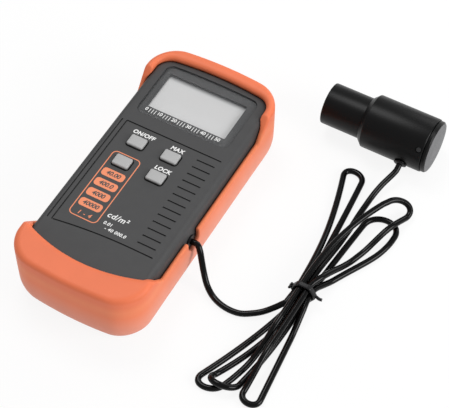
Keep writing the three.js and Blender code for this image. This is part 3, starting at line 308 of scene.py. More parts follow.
def mesh_object(name, points, faces):
    data = bpy.data.meshes.new(name)
    data.from_pydata([tuple(c * MM for c in p) for p in points], [], faces)
    made = bpy.data.objects.new(name, data)
    bpy.context.scene.collection.objects.link(made)
    return made


def smooth(piece, degrees=35):
    for polygon in piece.data.polygons:
        polygon.use_smooth = True
    piece.data.set_sharp_from_angle(angle=math.radians(degrees))
    return piece


def settle(piece):
    """Makes the piece's modifiers part of its mesh."""
    graph = bpy.context.evaluated_depsgraph_get()
    data = bpy.data.meshes.new_from_object(piece.evaluated_get(graph))
    piece.modifiers.clear()
    piece.data = data
    return piece


def carve(piece, cutters, operation="DIFFERENCE"):
    for cutter in cutters:
        modifier = piece.modifiers.new("carve", "BOOLEAN")
        modifier.operation = operation
        modifier.solver = "EXACT"
        modifier.object = cutter
        settle(piece)
        bpy.data.objects.remove(cutter)
    return piece


def outward(piece):
    shape = bmesh.new()
    shape.from_mesh(piece.data)
    bmesh.ops.recalc_face_normals(shape, faces=shape.faces)
    shape.to_mesh(piece.data)
    shape.free()
    return piece


def loft(name, rings):
    """A closed skin over rings of equal point count, each a list of (x, y, z)."""
    count = len(rings[0])
    points = [p for ring in rings for p in ring]
    faces = []
    for k in range(len(rings) - 1):
        low, high = k * count, (k + 1) * count
        for i in range(count):
            j = (i + 1) % count
            faces.append((low + i, low + j, high + j, high + i))
    faces.append(tuple(reversed(range(count))))
    faces.append(tuple((len(rings) - 1) * count + i for i in range(count)))
    return mesh_object(name, points, faces)


def at(points, z):
    return [(x, y, z) for x, y in points]


def prism(name, points, low, high):
    return loft(name, [at(points, low), at(points, high)])


def box(name, x, y, z):
    return prism(name, [(x[0], y[0]), (x[1], y[0]), (x[1], y[1]), (x[0], y[1])], *z)


def outline(half, low, high, radius, low_radius=None, low_bow=0.0, high_bow=0.0, corner=10, end=16, side=24):
    """A rectangle with round corners whose ends bow outwards, anticlockwise."""
    low_radius = radius if low_radius is None else low_radius
    points = []

    def place(x, y, bow):
        points.append((x, y + bow * (x / half) ** 2))

    def turn(x, y, r, start, bow):
        for i in range(corner + 1):
            angle = start + math.pi / 2 * i / corner
            place(x + r * math.cos(angle), y + r * math.sin(angle), bow)

    def across(start, stop, y, bow):
        for i in range(1, end):
            place(start + (stop - start) * i / end, y, bow)

    def along(x, start, stop):
        for i in range(1, side):
            points.append((x, start + (stop - start) * i / side))

    inner, low_inner = half - radius, half - low_radius
    along(half, low + low_radius + low_bow, high - radius - high_bow)
    turn(inner, high - radius, radius, 0, -high_bow)
    across(inner, -inner, high, -high_bow)
    turn(-inner, high - radius, radius, math.pi / 2, -high_bow)
    along(-half, high - radius - high_bow, low + low_radius + low_bow)
    turn(-low_inner, low + low_radius, low_radius, math.pi, low_bow)
    across(-low_inner, low_inner, low, low_bow)
    turn(low_inner, low + low_radius, low_radius, math.pi * 1.5, low_bow)
    return points


def rounded(centre, width, length, radius, corner=6):
    shape = outline(width / 2, -length / 2, length / 2, radius, corner=corner, end=2, side=2)
    return [(x + centre[0], y + centre[1]) for x, y in shape]


def turned(name, profile, start, direction, sides=96):
    """A turned piece from (radius, distance) pairs along an axis."""
    axis = Vector(direction).normalized()
    first = axis.orthogonal().normalized()
    second = axis.cross(first)
    points = []
    rings = []
    for radius, distance in profile:
        centre = Vector(start) + axis * distance
        if radius <= 0:
            rings.append([len(points)])
            points.append(tuple(centre))
            continue
        rings.append(range(len(points), len(points) + sides))
        for i in range(sides):
            angle = 2 * math.pi * i / sides
            points.append(tuple(centre + radius * (math.cos(angle) * first + math.sin(angle) * second)))
    faces = []
    for low, high in zip(rings, rings[1:]):
        for i in range(sides):
            j = (i + 1) % sides
            corners = [low[i % len(low)], low[j % len(low)], high[j % len(high)], high[i % len(high)]]
            faces.append(tuple(dict.fromkeys(corners)))
    return outward(mesh_object(name, points, [face for face in faces if len(face) > 2]))


def across_x(name, points, x):
    """A flat outline in (y, z), carried along x."""
    return outward(loft(name, [[(end, y, z) for y, z in points] for end in x]))


def wire(name, points, radius, sides=16):
    rings = []
    for i, point in enumerate(points):
        ahead = (points[min(i + 1, len(points) - 1)] - points[max(i - 1, 0)]).normalized()
        side = ahead.cross(Vector((0, 0, 1)))
        side = side.normalized() if side.length > 1e-3 else Vector((1, 0, 0))
        top = side.cross(ahead)
        rings.append([
            tuple(point + radius * (math.cos(a) * side + math.sin(a) * top))
            for a in (2 * math.pi * k / sides for k in range(sides))
        ])
    return outward(loft(name, rings))


def merge(name, pieces):
    shape = bmesh.new()
    for piece in pieces:
        shape.from_mesh(piece.data)
    data = bpy.data.meshes.new(name)
    shape.to_mesh(data)
    shape.free()
    made = bpy.data.objects.new(name, data)
    bpy.context.scene.collection.objects.link(made)
    for piece in pieces:
        bpy.data.objects.remove(piece)
    return made


def ease(t):
    t = min(max(t, 0.0), 1.0)
    return t * t * (3 - 2 * t)


# Cord
CORD = 3.0
CORD_RADIUS = 1.55
GAP = 0.3
FLOOR_GAP = 0.1
TIE_DEPTH = 1.2
WAIST_X, WAIST_Y = 89.0, -8.0
PITCH = 3.55
ROW = PITCH * math.sin(math.pi / 3)
REST = CORD / 2 + FLOOR_GAP
LOW_ROW = FLOOR_GAP + TIE_DEPTH + GAP + CORD / 2
DRAW_IN = 9
# Places of the strands in the bundle at its waist, as (across, up)
SLOTS = {
    "middle_left": (-PITCH, ROW),
    "middle": (0, ROW),
    "middle_right": (PITCH, ROW),
    "low_left": (-PITCH / 2, 0),
    "low_right": (PITCH / 2, 0),
    "top_left": (-PITCH / 2, 2 * ROW),
    "top_right": (PITCH / 2, 2 * ROW),
}
# A fold is its way along y, its run, its strands out and back, and the rise of its crown.
# A strand is its slot, how far it spreads, how late, where it comes down from and to, its swing and its hump.
# Lengths are in cord diameters.
FOLDS = [
    (1, 24.6, ("middle_left", -4.15, 1.83, 0.7, 16.3), ("low_left", -1.4, 1.53, 1.7, 6.7), 0),
    (-1, 20, ("low_left", -6.4, 1.4, 0.3, 4.3), ("top_left", -2.5, 3.1, 6.2, 16), 0),
    (1, 21.6, ("top_left", 4.7, 2.3, 21, 24.8), ("top_right", 7.2, 1.1, 2.2, 10.3, 0, (17.8, 6, 1.4)), 0),
    (-1, 19.7, ("top_right", -0.5, 1.7, 12, 21.3), ("middle_right", 1.8, 1, 1, 8.2), 0),
    (1, 17, ("middle_right", 6.5, 0.6, 0.4, 5.4, 0.9), ("low_right", 1.5, 1.1, 0, 4.8), 0),
    (-1, 19.1, ("low_right", -1.7, 2.4, 0.8, 5.1), ("middle", -5.2, 2, 0.2, 10.2), 1.3),
]
TAIL = ("middle", 0.4, 1.4, 3.4, 13)
TAIL_RUN = 38
# The widest folds are drawn in slightly, so that the round cord keeps to the box of the faceted one
DRAWN_FROM = 109
DRAWN_SHARE = 0.12
RUN_STEPS = 27
FOLD_STEPS = 18
TAIL_STEPS = 12
ENTRY_RUN, ENTRY_SHIFT = 6, 0.6


def strand_place(strand, out, run):
    slot, spread, late, down_from, down_to, *rest = strand
    swing = rest[0] if rest else 0
    slot_x, slot_z = SLOTS[slot]
    part = out / run
    moved = (1 - swing) * part**late + swing * ease(part)
    x = slot_x + spread * CORD * moved * ease(out / DRAW_IN)
    fallen = ease((out - down_from * CORD) / ((down_to - down_from) * CORD))
    z = REST + (LOW_ROW + slot_z - REST) * (1 - fallen)
    if len(rest) > 1:
        centre, half, height = (share * CORD for share in rest[1])
        z += height * ease(1 - min(abs(out - centre) / half, 1))
    return Vector((x, out, z))


def strand_points(strand, run, steps):
    return [strand_place(strand, run * i / steps, run) for i in range(steps + 1)]


def bend(out, back, crown):
    """The end of a fold: a smooth turn from the strand that goes out to the one that comes back."""
    first, last = out[-1], back[-1]
    reach = 2 / 3 * (first - last).length

    def handle(points):
        slope = points[-1] - points[-4]
        slope.z = 0
        return points[-1] + slope.normalized() * reach

    a, b = handle(out), handle(back)
    points = []
    for i in range(1, FOLD_STEPS):
        t = i / FOLD_STEPS
        point = (1 - t) ** 3 * first + 3 * (1 - t) ** 2 * t * a + 3 * (1 - t) * t**2 * b + t**3 * last
        point.z = first.z + (last.z - first.z) * ease(t) + crown * math.sin(math.pi * t)
        points.append(point)
    return points


def hank_route():
    def place(points, way):
        return [Vector((WAIST_X + p.x, WAIST_Y + way * p.y, p.z)) for p in points]

    begin = strand_place(FOLDS[0][2], 0, 1)
    route = [Vector((WAIST_X + begin.x - ENTRY_SHIFT, WAIST_Y - ENTRY_RUN, begin.z))]
    for k, (way, share, out_strand, back_strand, crown) in enumerate(FOLDS):
        run = share * CORD
        out = strand_points(out_strand, run, RUN_STEPS)
        back = strand_points(back_strand, run, RUN_STEPS)
        path = out + bend(out, back, crown * CORD) + back[::-1]
        route += place(path[0 if k == 0 else 1 :], way)
    route += place(strand_points(TAIL, TAIL_RUN, TAIL_STEPS)[1:], 1)
    for point in route:
        point.x -= DRAWN_SHARE * max(point.x - DRAWN_FROM, 0)
    return route


def spline(points, step=2.0):
    """Points about a step apart on a centripetal Catmull-Rom curve."""
    ends = [2 * points[0] - points[1], *points, 2 * points[-1] - points[-2]]
    curve = []
    for a, b, c, d in zip(ends, ends[1:], ends[2:], ends[3:]):
        knots = [0.0]
        for p, q in ((a, b), (b, c), (c, d)):
            knots.append(knots[-1] + max((q - p).length, 1e-6) ** 0.5)
        t0, t1, t2, t3 = knots
        count = max(2, round((c - b).length / step))
        for i in range(count):
            t = t1 + (t2 - t1) * i / count
            a1 = (t1 - t) / (t1 - t0) * a + (t - t0) / (t1 - t0) * b
            a2 = (t2 - t) / (t2 - t1) * b + (t - t1) / (t2 - t1) * c
            a3 = (t3 - t) / (t3 - t2) * c + (t - t2) / (t3 - t2) * d
            b1 = (t2 - t) / (t2 - t0) * a1 + (t - t0) / (t2 - t0) * a2
            b2 = (t3 - t) / (t3 - t1) * a2 + (t - t1) / (t3 - t1) * a3
            curve.append((t2 - t) / (t2 - t1) * b1 + (t - t1) / (t2 - t1) * b2)
    curve.append(points[-1])
    return curve


GLAND_Y, GLAND_Z = -17.0, 19.45
GLAND_END = 33.1
PROBE_MOUTH_X, PROBE_Y, PROBE_Z = 49.5, 95.0, 14.1
GROMMET_X = PROBE_MOUTH_X + 46.6
DIP = math.radians(22)
GROMMET_WAY = Vector((0, -math.cos(DIP), -math.sin(DIP)))
GROMMET_FACE = 15.4
END_GAP = 0.1
LEAD_ROUTE = [
    (38.5, -18.3, 17.4),
    (40.8, -20.6, 13.1),
    (43.3, -23.1, 8.4),
    (46.6, -26.0, 4.2),
    (50.8, -28.6, 2.0),
    (56, -30.8, 1.8),
    (62, -31.7, 1.8),
    (67.6, -30.9, 1.8),
    (72, -28.5, 2.0),
    (76.4, -25.2, 2.4),
    (80.8, -21, 4),
]
TAIL_ROUTE = [
    (90.6, 38, 1.7),
    (90.7, 48, 1.8),
    (91, 54, 2),
    (91.4, 59.5, 2.5),
    (92.1, 64.5, 3.3),
    (93.2, 69, 4.4),
    (94.7, 73.4, 5.6),
]


def cord_route():
    hank = hank_route()
    before = hank[0] + (hank[0] - hank[1]).normalized() * (CORD + GAP)
    lead = [
        Vector((GLAND_END + END_GAP, GLAND_Y, GLAND_Z)),
        Vector((GLAND_END + GAP + CORD, GLAND_Y, GLAND_Z)),
        *(Vector(p) for p in LEAD_ROUTE),
        before,
    ]
    level = hank[-1] - hank[-2]
    level.z = 0
    probe = Vector((GROMMET_X, PROBE_Y, PROBE_Z))
    tail = [
        hank[-1] + level.normalized() * (CORD + GAP),
        *(Vector(p) for p in TAIL_ROUTE),
        probe + GROMMET_WAY * (GROMMET_FACE + GAP + CORD),
        probe + GROMMET_WAY * (GROMMET_FACE + END_GAP),
    ]
    return spline(lead)[:-1] + [before] + hank + spline(tail)


def make_cord():
    route = cord_route()
    data = bpy.data.curves.new("cord", "CURVE")
    data.dimensions = "3D"
    line = data.splines.new("POLY")
    line.points.add(len(route) - 1)
    for point, place in zip(line.points, route):
        point.co = (*(place * MM), 1)
    data.bevel_depth = CORD_RADIUS * MM
    data.bevel_resolution = 4
    data.use_fill_caps = True
    cord = bpy.data.objects.new("cord", data)
    bpy.context.scene.collection.objects.link(cord)
    hand_over(cord, "cord_jacket", nodes=("cord_lead", "cord_hank", "cord_tail"))
    return cord, route


cord, route = make_cord()


# Tie round the hank's waist
STRANDS_ROUND = 6
TIE_CORNER_STEPS = 8
# The band's section, as (distance from the strands, place along y)
TIE_SECTION = [
    (0.04, -0.9), (0.30, -1.25), (0.75, -1.3), (1.1, -1.0), (1.18, -0.5), (1.05, 0.0),
    (1.18, 0.5), (1.1, 1.0), (0.75, 1.3), (0.30, 1.25), (0.04, 0.9),
]
KNOT_RADIUS, KNOT_WIDTH, KNOT_HEIGHT, KNOT_LENGTH = 0.62, 0.45, 0.9, 3.0
KNOT_TURNS, KNOT_STEPS = 2, 48
STUB_RADIUS = 0.78
# The stub's route from the band's right side, as (outwards, along y, up)
STUB_ROUTE = [(-0.2, 0.4, 0.3), (1.4, 0.1, 0.2), (3.0, -0.1, -0.2), (4.3, 0, -0.1)]


def make_band(middle):
    def ring_points(reach):
        """The band's line round six strands: an arc at each, joined by straight stretches."""
        points = []
        for k in range(STRANDS_ROUND):
            corner = 2 * math.pi * k / STRANDS_ROUND
            for i in range(TIE_CORNER_STEPS):
                angle = corner + math.pi / 3 * (i / (TIE_CORNER_STEPS - 1) - 0.5)
                x = WAIST_X + PITCH * math.cos(corner) + reach * math.cos(angle)
                z = middle + PITCH * math.sin(corner) + reach * math.sin(angle)
                points.append((x, z))
        return points

    rings = [[(x, WAIST_Y + y, z) for x, z in ring_points(CORD / 2 + GAP + out)] for out, y in TIE_SECTION]
    count = STRANDS_ROUND * TIE_CORNER_STEPS
    points = [p for ring in rings for p in ring]
    faces = []
    for k in range(len(rings)):
        low, high = k * count, (k + 1) % len(rings) * count
        for i in range(count):
            j = (i + 1) % count
            faces.append((low + i, low + j, high + j, high + i))
    return outward(mesh_object("tie_band", points, faces))


def make_tie():
    middle = LOW_ROW + ROW
    inside = PITCH + CORD / 2 + GAP
    band = make_band(middle)
    knot_points = []
    for i in range(KNOT_STEPS + 1):
        angle = 2 * math.pi * KNOT_TURNS * i / KNOT_STEPS
        knot_points.append(Vector((
            WAIST_X - inside - 1.25 - KNOT_WIDTH * math.cos(angle),
            WAIST_Y - KNOT_LENGTH / 2 + KNOT_LENGTH * i / KNOT_STEPS,
            middle + KNOT_HEIGHT * math.sin(angle) + 0.2,
        )))
    knot = wire("tie_knot", knot_points, KNOT_RADIUS)
    stub_points = [Vector((WAIST_X + inside + x, WAIST_Y + y, middle + z)) for x, y, z in STUB_ROUTE]
    stub = wire("tie_stub", spline(stub_points, 0.5), STUB_RADIUS)
    tie = merge("tie", [band, knot, stub])
    smooth(tie, 50)
    return hand_over(tie, "tie_plastic", nodes=("cord_tie",))


tie = make_tie()

# Holster
CASE_HALF, CASE_END = 32.2, 69.5
CASE_CORNER, CASE_BOW = 8.0, 2.6
CASE_FACE = 33.0
EDGE_DROP, EDGE_INSET = 4.2, 3.0
HOLSTER_FLOOR = 3.0
BACK_INSET = 1.6
SIDE_RIM, RIM = 24.5, 36.0
SIDE_WALL, END_WALL = 2.3, 5.2
FOOT_INSET, FOOT_END_INSET = 3.8, 5.4
# The foot's curve, as (share of the inset, share of the side wall's height)
FOOT_SHARES = [(0, 0), (0.26, 0.03), (0.45, 0.08), (0.64, 0.145), (0.8, 0.22), (0.92, 0.32), (1, 0.45)]
HOLSTER_CORNER, HOLSTER_BOW = 14, 3
FLARE = 0.6
FLARE_LOW, FLARE_LOW_SHARE, FLARE_FULL = 20, 0.82, 28.8
RIM_ROUND, RIM_STEPS = 2.4, 8
RIM_LOW, RIM_HIGH, RIM_RAMP = -45.0, 46.0, 12.0
LAP, LOW_LAP, LAP_RISE = 1.3, 8.8, 0.9
MOUTH_SPREAD, MOUTH_DEPTH, MOUTH_STEPS = 2.5, 2.1, 6
MOUTH_LOW_RADIUS, MOUTH_LOW_BOW = 1.2, 6.1
NOTCH_FLOOR, NOTCH_HALF, NOTCH_STEPS = 15.8, 4.8, 16
NOTCH_TOP, NOTCH_INNER = 40, 29.4
WINDOW_HALF, WINDOW_LOW, WINDOW_HIGH = 16.6, -66.3, -12
BEYOND = 60
VOXEL = 0.6
KEPT_TRIANGLES = 0.35


def case_outline(grow, **steps):
    return outline(
        CASE_HALF + grow,
        -CASE_END - grow,
        CASE_END + grow,
        CASE_CORNER + grow,
        low_bow=CASE_BOW,
        high_bow=CASE_BOW,
        **steps,
    )


def face_edge(grow, lift, steps=8):
    rings = []
    for i in range(steps + 1):
        angle = math.pi / 2 * i / steps
        z = CASE_FACE - EDGE_DROP * (1 - math.sin(angle)) + lift
        rings.append(at(case_outline(grow - EDGE_INSET * (1 - math.cos(angle))), z))
    return rings


def holster_ring(z, half, end, flare):
    points = outline(
        half, -end, end, HOLSTER_CORNER,
        low_bow=HOLSTER_BOW, high_bow=HOLSTER_BOW, corner=14, end=24, side=70,
    )
    ring = []
    for x, y in points:
        start = -RIM_LOW if y < 0 else RIM_HIGH
        spread = ease((abs(y) - start + RIM_RAMP / 2) / (RIM_RAMP * 1.5))
        ring.append((x * (1 + flare * spread / half), y, z))
    return ring


def mouth_outline(spread):
    return outline(
        CASE_HALF - LAP + spread,
        -CASE_END + LOW_LAP - spread,
        CASE_END - LAP + spread,
        CASE_CORNER - LAP + spread,
        low_radius=MOUTH_LOW_RADIUS,
        low_bow=MOUTH_LOW_BOW,
        high_bow=CASE_BOW,
    )


def holster_body():
    side = CASE_HALF + GAP + SIDE_WALL
    end = CASE_END + GAP + END_WALL
    foot, foot_end = side - FOOT_INSET, end - FOOT_END_INSET
    rings = []
    for out, up in FOOT_SHARES:
        half = foot + (side - foot) * out
        reach = foot_end + (end - foot_end) * out
        rings.append(holster_ring(SIDE_RIM * up, half, reach, FLARE * up))
    rings.append(holster_ring(FLARE_LOW, side, end, FLARE * FLARE_LOW_SHARE))
    rings.append(holster_ring(FLARE_FULL, side, end, FLARE))
    for i in range(RIM_STEPS + 1):
        angle = math.pi / 2 * i / RIM_STEPS
        inset = RIM_ROUND * (1 - math.cos(angle))
        z = RIM - RIM_ROUND + RIM_ROUND * math.sin(angle)
        rings.append(holster_ring(z, side - inset, end - inset, FLARE))
    return loft("holster_skin", rings)


def holster_cutters():
    low = [
        at(case_outline(GAP - BACK_INSET), HOLSTER_FLOOR),
        at(case_outline(GAP), HOLSTER_FLOOR + BACK_INSET),
    ]
    cavity = loft("cavity", [*low, *face_edge(GAP, GAP)])
    rim = []
    for i in range(MOUTH_STEPS + 1):
        angle = math.pi / 2 * i / MOUTH_STEPS
        spread = MOUTH_SPREAD * (1 - math.cos(angle))
        rim.append(at(mouth_outline(spread), CASE_FACE + LAP_RISE + MOUTH_DEPTH * math.sin(angle)))
    first = at(mouth_outline(0), CASE_FACE - EDGE_DROP)
    mouth = loft("mouth", [first, *rim, at(mouth_outline(MOUTH_SPREAD), RIM + 2)])
    slope = [
        (RIM_LOW, SIDE_RIM),
        (RIM_HIGH, SIDE_RIM),
        (RIM_HIGH + RIM_RAMP, RIM + 2),
        (RIM_LOW - RIM_RAMP, RIM + 2),
    ]
    relief = across_x("relief", slope, (-BEYOND, BEYOND))
    arc = [
        (GLAND_Y + NOTCH_HALF * math.cos(a), NOTCH_FLOOR + NOTCH_HALF + NOTCH_HALF * math.sin(a))
        for a in (math.pi + math.pi * i / NOTCH_STEPS for i in range(NOTCH_STEPS + 1))
    ]
    opening = [*arc, (GLAND_Y + NOTCH_HALF, NOTCH_TOP), (GLAND_Y - NOTCH_HALF, NOTCH_TOP)]
    notch = across_x("notch", opening, (NOTCH_INNER, BEYOND))
    window = box("window", (-WINDOW_HALF, WINDOW_HALF), (WINDOW_LOW, WINDOW_HIGH), (-2, HOLSTER_FLOOR + 2))
    return [cavity, mouth, relief, notch, window]


def make_holster():
    shell = carve(holster_body(), holster_cutters())
    remesh = shell.modifiers.new("remesh", "REMESH")
    remesh.mode = "VOXEL"
    remesh.voxel_size = VOXEL * MM
    settle(shell)
    soften = shell.modifiers.new("soften", "SMOOTH")
    soften.factor = 0.5
    soften.iterations = 5
    thin = shell.modifiers.new("thin", "DECIMATE")
    thin.ratio = KEPT_TRIANGLES
    settle(shell)
    smooth(shell, 80)
    return hand_over(shell, "holster_rubber", nodes=("holster",))


make_holster()

# Front case
FIELD_LEFT, FIELD_OUTER, FIELD_RIGHT = -25.6, -28.1, 16.3
FIELD_TOP, FIELD_BOTTOM = 22.2, -45.6
GRIP_BOTTOM, GRIP_RIGHT = -42.0, 26.1
GRIPS, GRIP_EXTRA = 15, 1.1
LINE_HALF, LINE_DEPTH = 0.4, 0.7
SWEEP_STEPS = 24
FRONT_BOTTOM, FRONT_WALL, FACE_UNDERSIDE = 19.6, 2.2, 30.4
# Clear above the face, below its underside and below the front's lower edge
ABOVE, UNDER, BELOW = CASE_FACE + 2, 28.4, 17.6
POCKET_FLOOR = 31.5
VIEW_Y, VIEW_WIDTH, VIEW_LENGTH, VIEW_RADIUS = 47.1, 45.4, 25, 1.5
KEY_HOLE_WIDTH, KEY_HOLE_LENGTH, KEY_HOLE_RADIUS = 10.2, 7.8, 1.9
BORE_RADIUS, BORE_IN, BORE_OUT = 3.2, -4.2, 2
LENS_HALF, LENS_LOW, LENS_HIGH, LENS_RADIUS = 25.6, 30.0, 64.2, 3.5
KEYS = {
    "power": (-14.0, 12.45),
    "range": (-14.0, -1.25),
    "peak": (4.8, 12.45),
    "hold": (4.8, -1.25),
}


def face_lines():
    """Cutters for the grooves: two left of the field, one above, a bowed one below, and the grip lines."""
    depth = (CASE_FACE - LINE_DEPTH, ABOVE)
    lines = [
        box("line", (x - LINE_HALF, x + LINE_HALF), (FIELD_BOTTOM, FIELD_TOP), depth)
        for x in (FIELD_LEFT, FIELD_OUTER)
    ]
    top = (FIELD_TOP - LINE_HALF, FIELD_TOP + LINE_HALF)
    lines.append(box("line", (FIELD_LEFT, FIELD_RIGHT), top, depth))
    sweep = []
    for i in range(SWEEP_STEPS + 1):
        share = i / SWEEP_STEPS
        x = FIELD_RIGHT + (FIELD_LEFT - FIELD_RIGHT) * i / SWEEP_STEPS
        sweep.append((x, GRIP_BOTTOM + (FIELD_BOTTOM - GRIP_BOTTOM) * share**2))
    upper = [(x, y + LINE_HALF) for x, y in sweep]
    lower = [(x, y - LINE_HALF) for x, y in sweep[::-1]]
    lines.append(prism("line", upper + lower, *depth))
    for i in range(GRIPS):
        y = FIELD_TOP - (FIELD_TOP - GRIP_BOTTOM) * i / (GRIPS - 1)
        extra = GRIP_EXTRA if i in (0, GRIPS - 1) else 0
        x = (FIELD_RIGHT - extra / 2, GRIP_RIGHT + extra)
        lines.append(box("line", x, (y - LINE_HALF, y + LINE_HALF), depth))
    return lines


def window_outline(grow):
    return outline(
        LENS_HALF + grow, LENS_LOW - grow, LENS_HIGH + grow, LENS_RADIUS + grow,
        high_bow=1, corner=8, end=12, side=2,
    )


def make_front():
    shell = loft("front_skin", [at(case_outline(0), FRONT_BOTTOM), *face_edge(0, 0)])
    hollow = prism("hollow", case_outline(-FRONT_WALL), BELOW, FACE_UNDERSIDE)
    pocket = prism("pocket", window_outline(GAP), POCKET_FLOOR, ABOVE)
    view = prism("view", rounded((0, VIEW_Y), VIEW_WIDTH, VIEW_LENGTH, VIEW_RADIUS), UNDER, CASE_FACE)
    holes = [
        prism("hole", rounded(place, KEY_HOLE_WIDTH, KEY_HOLE_LENGTH, KEY_HOLE_RADIUS), UNDER, ABOVE)
        for place in KEYS.values()
    ]
    profile = [(0, BORE_IN), (BORE_RADIUS, BORE_IN), (BORE_RADIUS, BORE_OUT), (0, BORE_OUT)]
    bore = turned("bore", profile, (CASE_HALF, GLAND_Y, GLAND_Z), (1, 0, 0), 48)
    carve(shell, [hollow, pocket, view, *holes, bore, *face_lines()])
    smooth(shell, 30)
    return hand_over(shell, "case_plastic", nodes=("front_case",))


make_front()

# Keys: soft-edged caps on a wider skirt that stays under the face
KEY_WIDTH, KEY_LENGTH, KEY_RADIUS = 9.2, 6.8, 1.15
KEY_LOW, KEY_TOP = 29.1, 34.7
SKIRT, SKIRT_HEIGHT = 1.8, 1.0
CAP_INSET, CAP_ROUND, CAP_RISE, CAP_DROP = 0.15, 0.75, 0.8, 0.95
CAP_STEPS = 6
CAP_FLAT_X, CAP_FLAT_Y, CAP_DISH = 5, 4.2, 0.04
LEAST_RADIUS = 0.5


def make_key(name, place):
    skirt = rounded(place, KEY_WIDTH + SKIRT, KEY_LENGTH + SKIRT, KEY_RADIUS)
    sides = rounded(place, KEY_WIDTH, KEY_LENGTH, KEY_RADIUS)
    shoulder = KEY_LOW + SKIRT_HEIGHT
    rings = [at(skirt, KEY_LOW), at(skirt, shoulder), at(sides, shoulder), at(sides, CASE_FACE)]
    for i in range(CAP_STEPS + 1):
        angle = math.pi / 2 * i / CAP_STEPS
        inset = CAP_INSET + CAP_ROUND * (1 - math.cos(angle))
        z = KEY_TOP - CAP_DROP + CAP_RISE * math.sin(angle)
        radius = max(KEY_RADIUS - inset, LEAST_RADIUS)
        rings.append(at(rounded(place, KEY_WIDTH - 2 * inset, KEY_LENGTH - 2 * inset, radius), z))
    flat = rounded(place, KEY_WIDTH - CAP_FLAT_X, KEY_LENGTH - CAP_FLAT_Y, LEAST_RADIUS)
    rings.append(at(flat, KEY_TOP - CAP_DISH))
    key = smooth(loft(f"{name}_key_cap", rings), 40)
    return hand_over(key, "key_plastic", body=f"{name}_button", nodes=(f"{name}_key",))


for key_name, key_place in KEYS.items():
    make_key(key_name, key_place)

# Display: clear lens over a printed border; the panel below them is the solid's own
LENS_BOTTOM = 31.8
LENS_BEVEL = 0.25
BORDER_INSET, BORDER_BOTTOM, BORDER_TOP = 0.15, 31.56, 31.72
BORDER_VIEW = ((-0.9, 47.7), 44.3, 23.4, 0.8)


def make_display():
    lens = prism("lens", window_outline(0), LENS_BOTTOM, CASE_FACE)
    bevel = lens.modifiers.new("bevel", "BEVEL")
    bevel.width = LENS_BEVEL * MM
    bevel.segments = 2
    settle(lens)
    hand_over(smooth(lens, 30), "window_plastic", nodes=("display_window",))
    border = prism("lens_border", window_outline(-BORDER_INSET), BORDER_BOTTOM, BORDER_TOP)
    carve(border, [prism("view", rounded(*BORDER_VIEW), BORDER_BOTTOM - 1, BORDER_TOP + 1)])
    hand_over(smooth(border, 30), "case_plastic")


make_display()


# Printing on the face
INK = CASE_FACE + 0.012
INK_DEPTH = 0.02
INK_WORDS = INK + 0.035
LENS_INK = CASE_FACE + 0.03
LETTER_DEPTH = 0.01


def flat_text(name, words, size, centre, z, material, slot="case_plastic", slant=0.0, spacing=1.0, bold=0.0):
    data = bpy.data.curves.new(name, "FONT")
    data.body = words
    data.size = size * MM
    data.align_x = "CENTER"
    data.align_y = "CENTER"
    data.extrude = LETTER_DEPTH * MM
    data.offset = bold * MM
    data.shear = slant
    data.space_character = spacing
    made = bpy.data.objects.new(name, data)
    bpy.context.scene.collection.objects.link(made)
    graph = bpy.context.evaluated_depsgraph_get()
    mesh = bpy.data.meshes.new_from_object(made.evaluated_get(graph))
    bpy.data.objects.remove(made)
    mesh.transform(Matrix.Translation((centre[0] * MM, centre[1] * MM, z * MM)))
    piece = bpy.data.objects.new(name, mesh)
    bpy.context.scene.collection.objects.link(piece)
    return hand_over(piece, slot, material=material)


def frame_line(name, centre, width, length, radius, line, z):
    outer = rounded(centre, width, length, radius)
    inner = rounded(centre, width - 2 * line, length - 2 * line, radius - line)
    count = len(outer)
    points = at(outer, z) + at(inner, z) + at(outer, z + INK_DEPTH) + at(inner, z + INK_DEPTH)
    faces = []
    for i in range(count):
        j = (i + 1) % count
        faces.append((2 * count + i, 2 * count + j, 3 * count + j, 3 * count + i))
        faces.append((i, j, 2 * count + j, 2 * count + i))
        faces.append((count + j, count + i, 3 * count + i, 3 * count + j))
        faces.append((j, i, count + i, count + j))
    return outward(mesh_object(name, points, faces))


# Each caption: words, size, centre, slant, bold, spacing
CAPTIONS = {
    "power_caption": ("ON/OFF", 3.1, (-13.6, 18.2), 0.15, 0.12, 1.08),
    "peak_caption": ("MAX", 3.1, (5.2, 18.2), 0.15, 0.12, 1.08),
    "hold_caption": ("LOCK", 3.1, (5.2, 4.3), 0.15, 0.12, 1.08),
    "unit": ("cd/m\u00b2", 4.4, (1.6, -30.6), 0.2, 0.07, 1.1),
    "span_low": ("0.01", 2.5, (-0.9, -35.5), 0.15, 0.06, 1.1),
    "span_high": ("- 40 000.0", 2.5, (4.6, -38.1), 0.15, 0.06, 1.1),
}
RANGE_X = -13.9
RANGES = {"40.00": -9.7, "400.0": -16.4, "4000": -23.2, "40000": -30.0}
PILL = (12.2, 4.7, 1.6)
RANGE_FRAME = ((-13.6, -17.5), 15.6, 42.4, 2.6, 0.5)
SCALE_WORDS = "0 | | | 10 | | | 20 | | | 30 | | | 40 | | | 50"


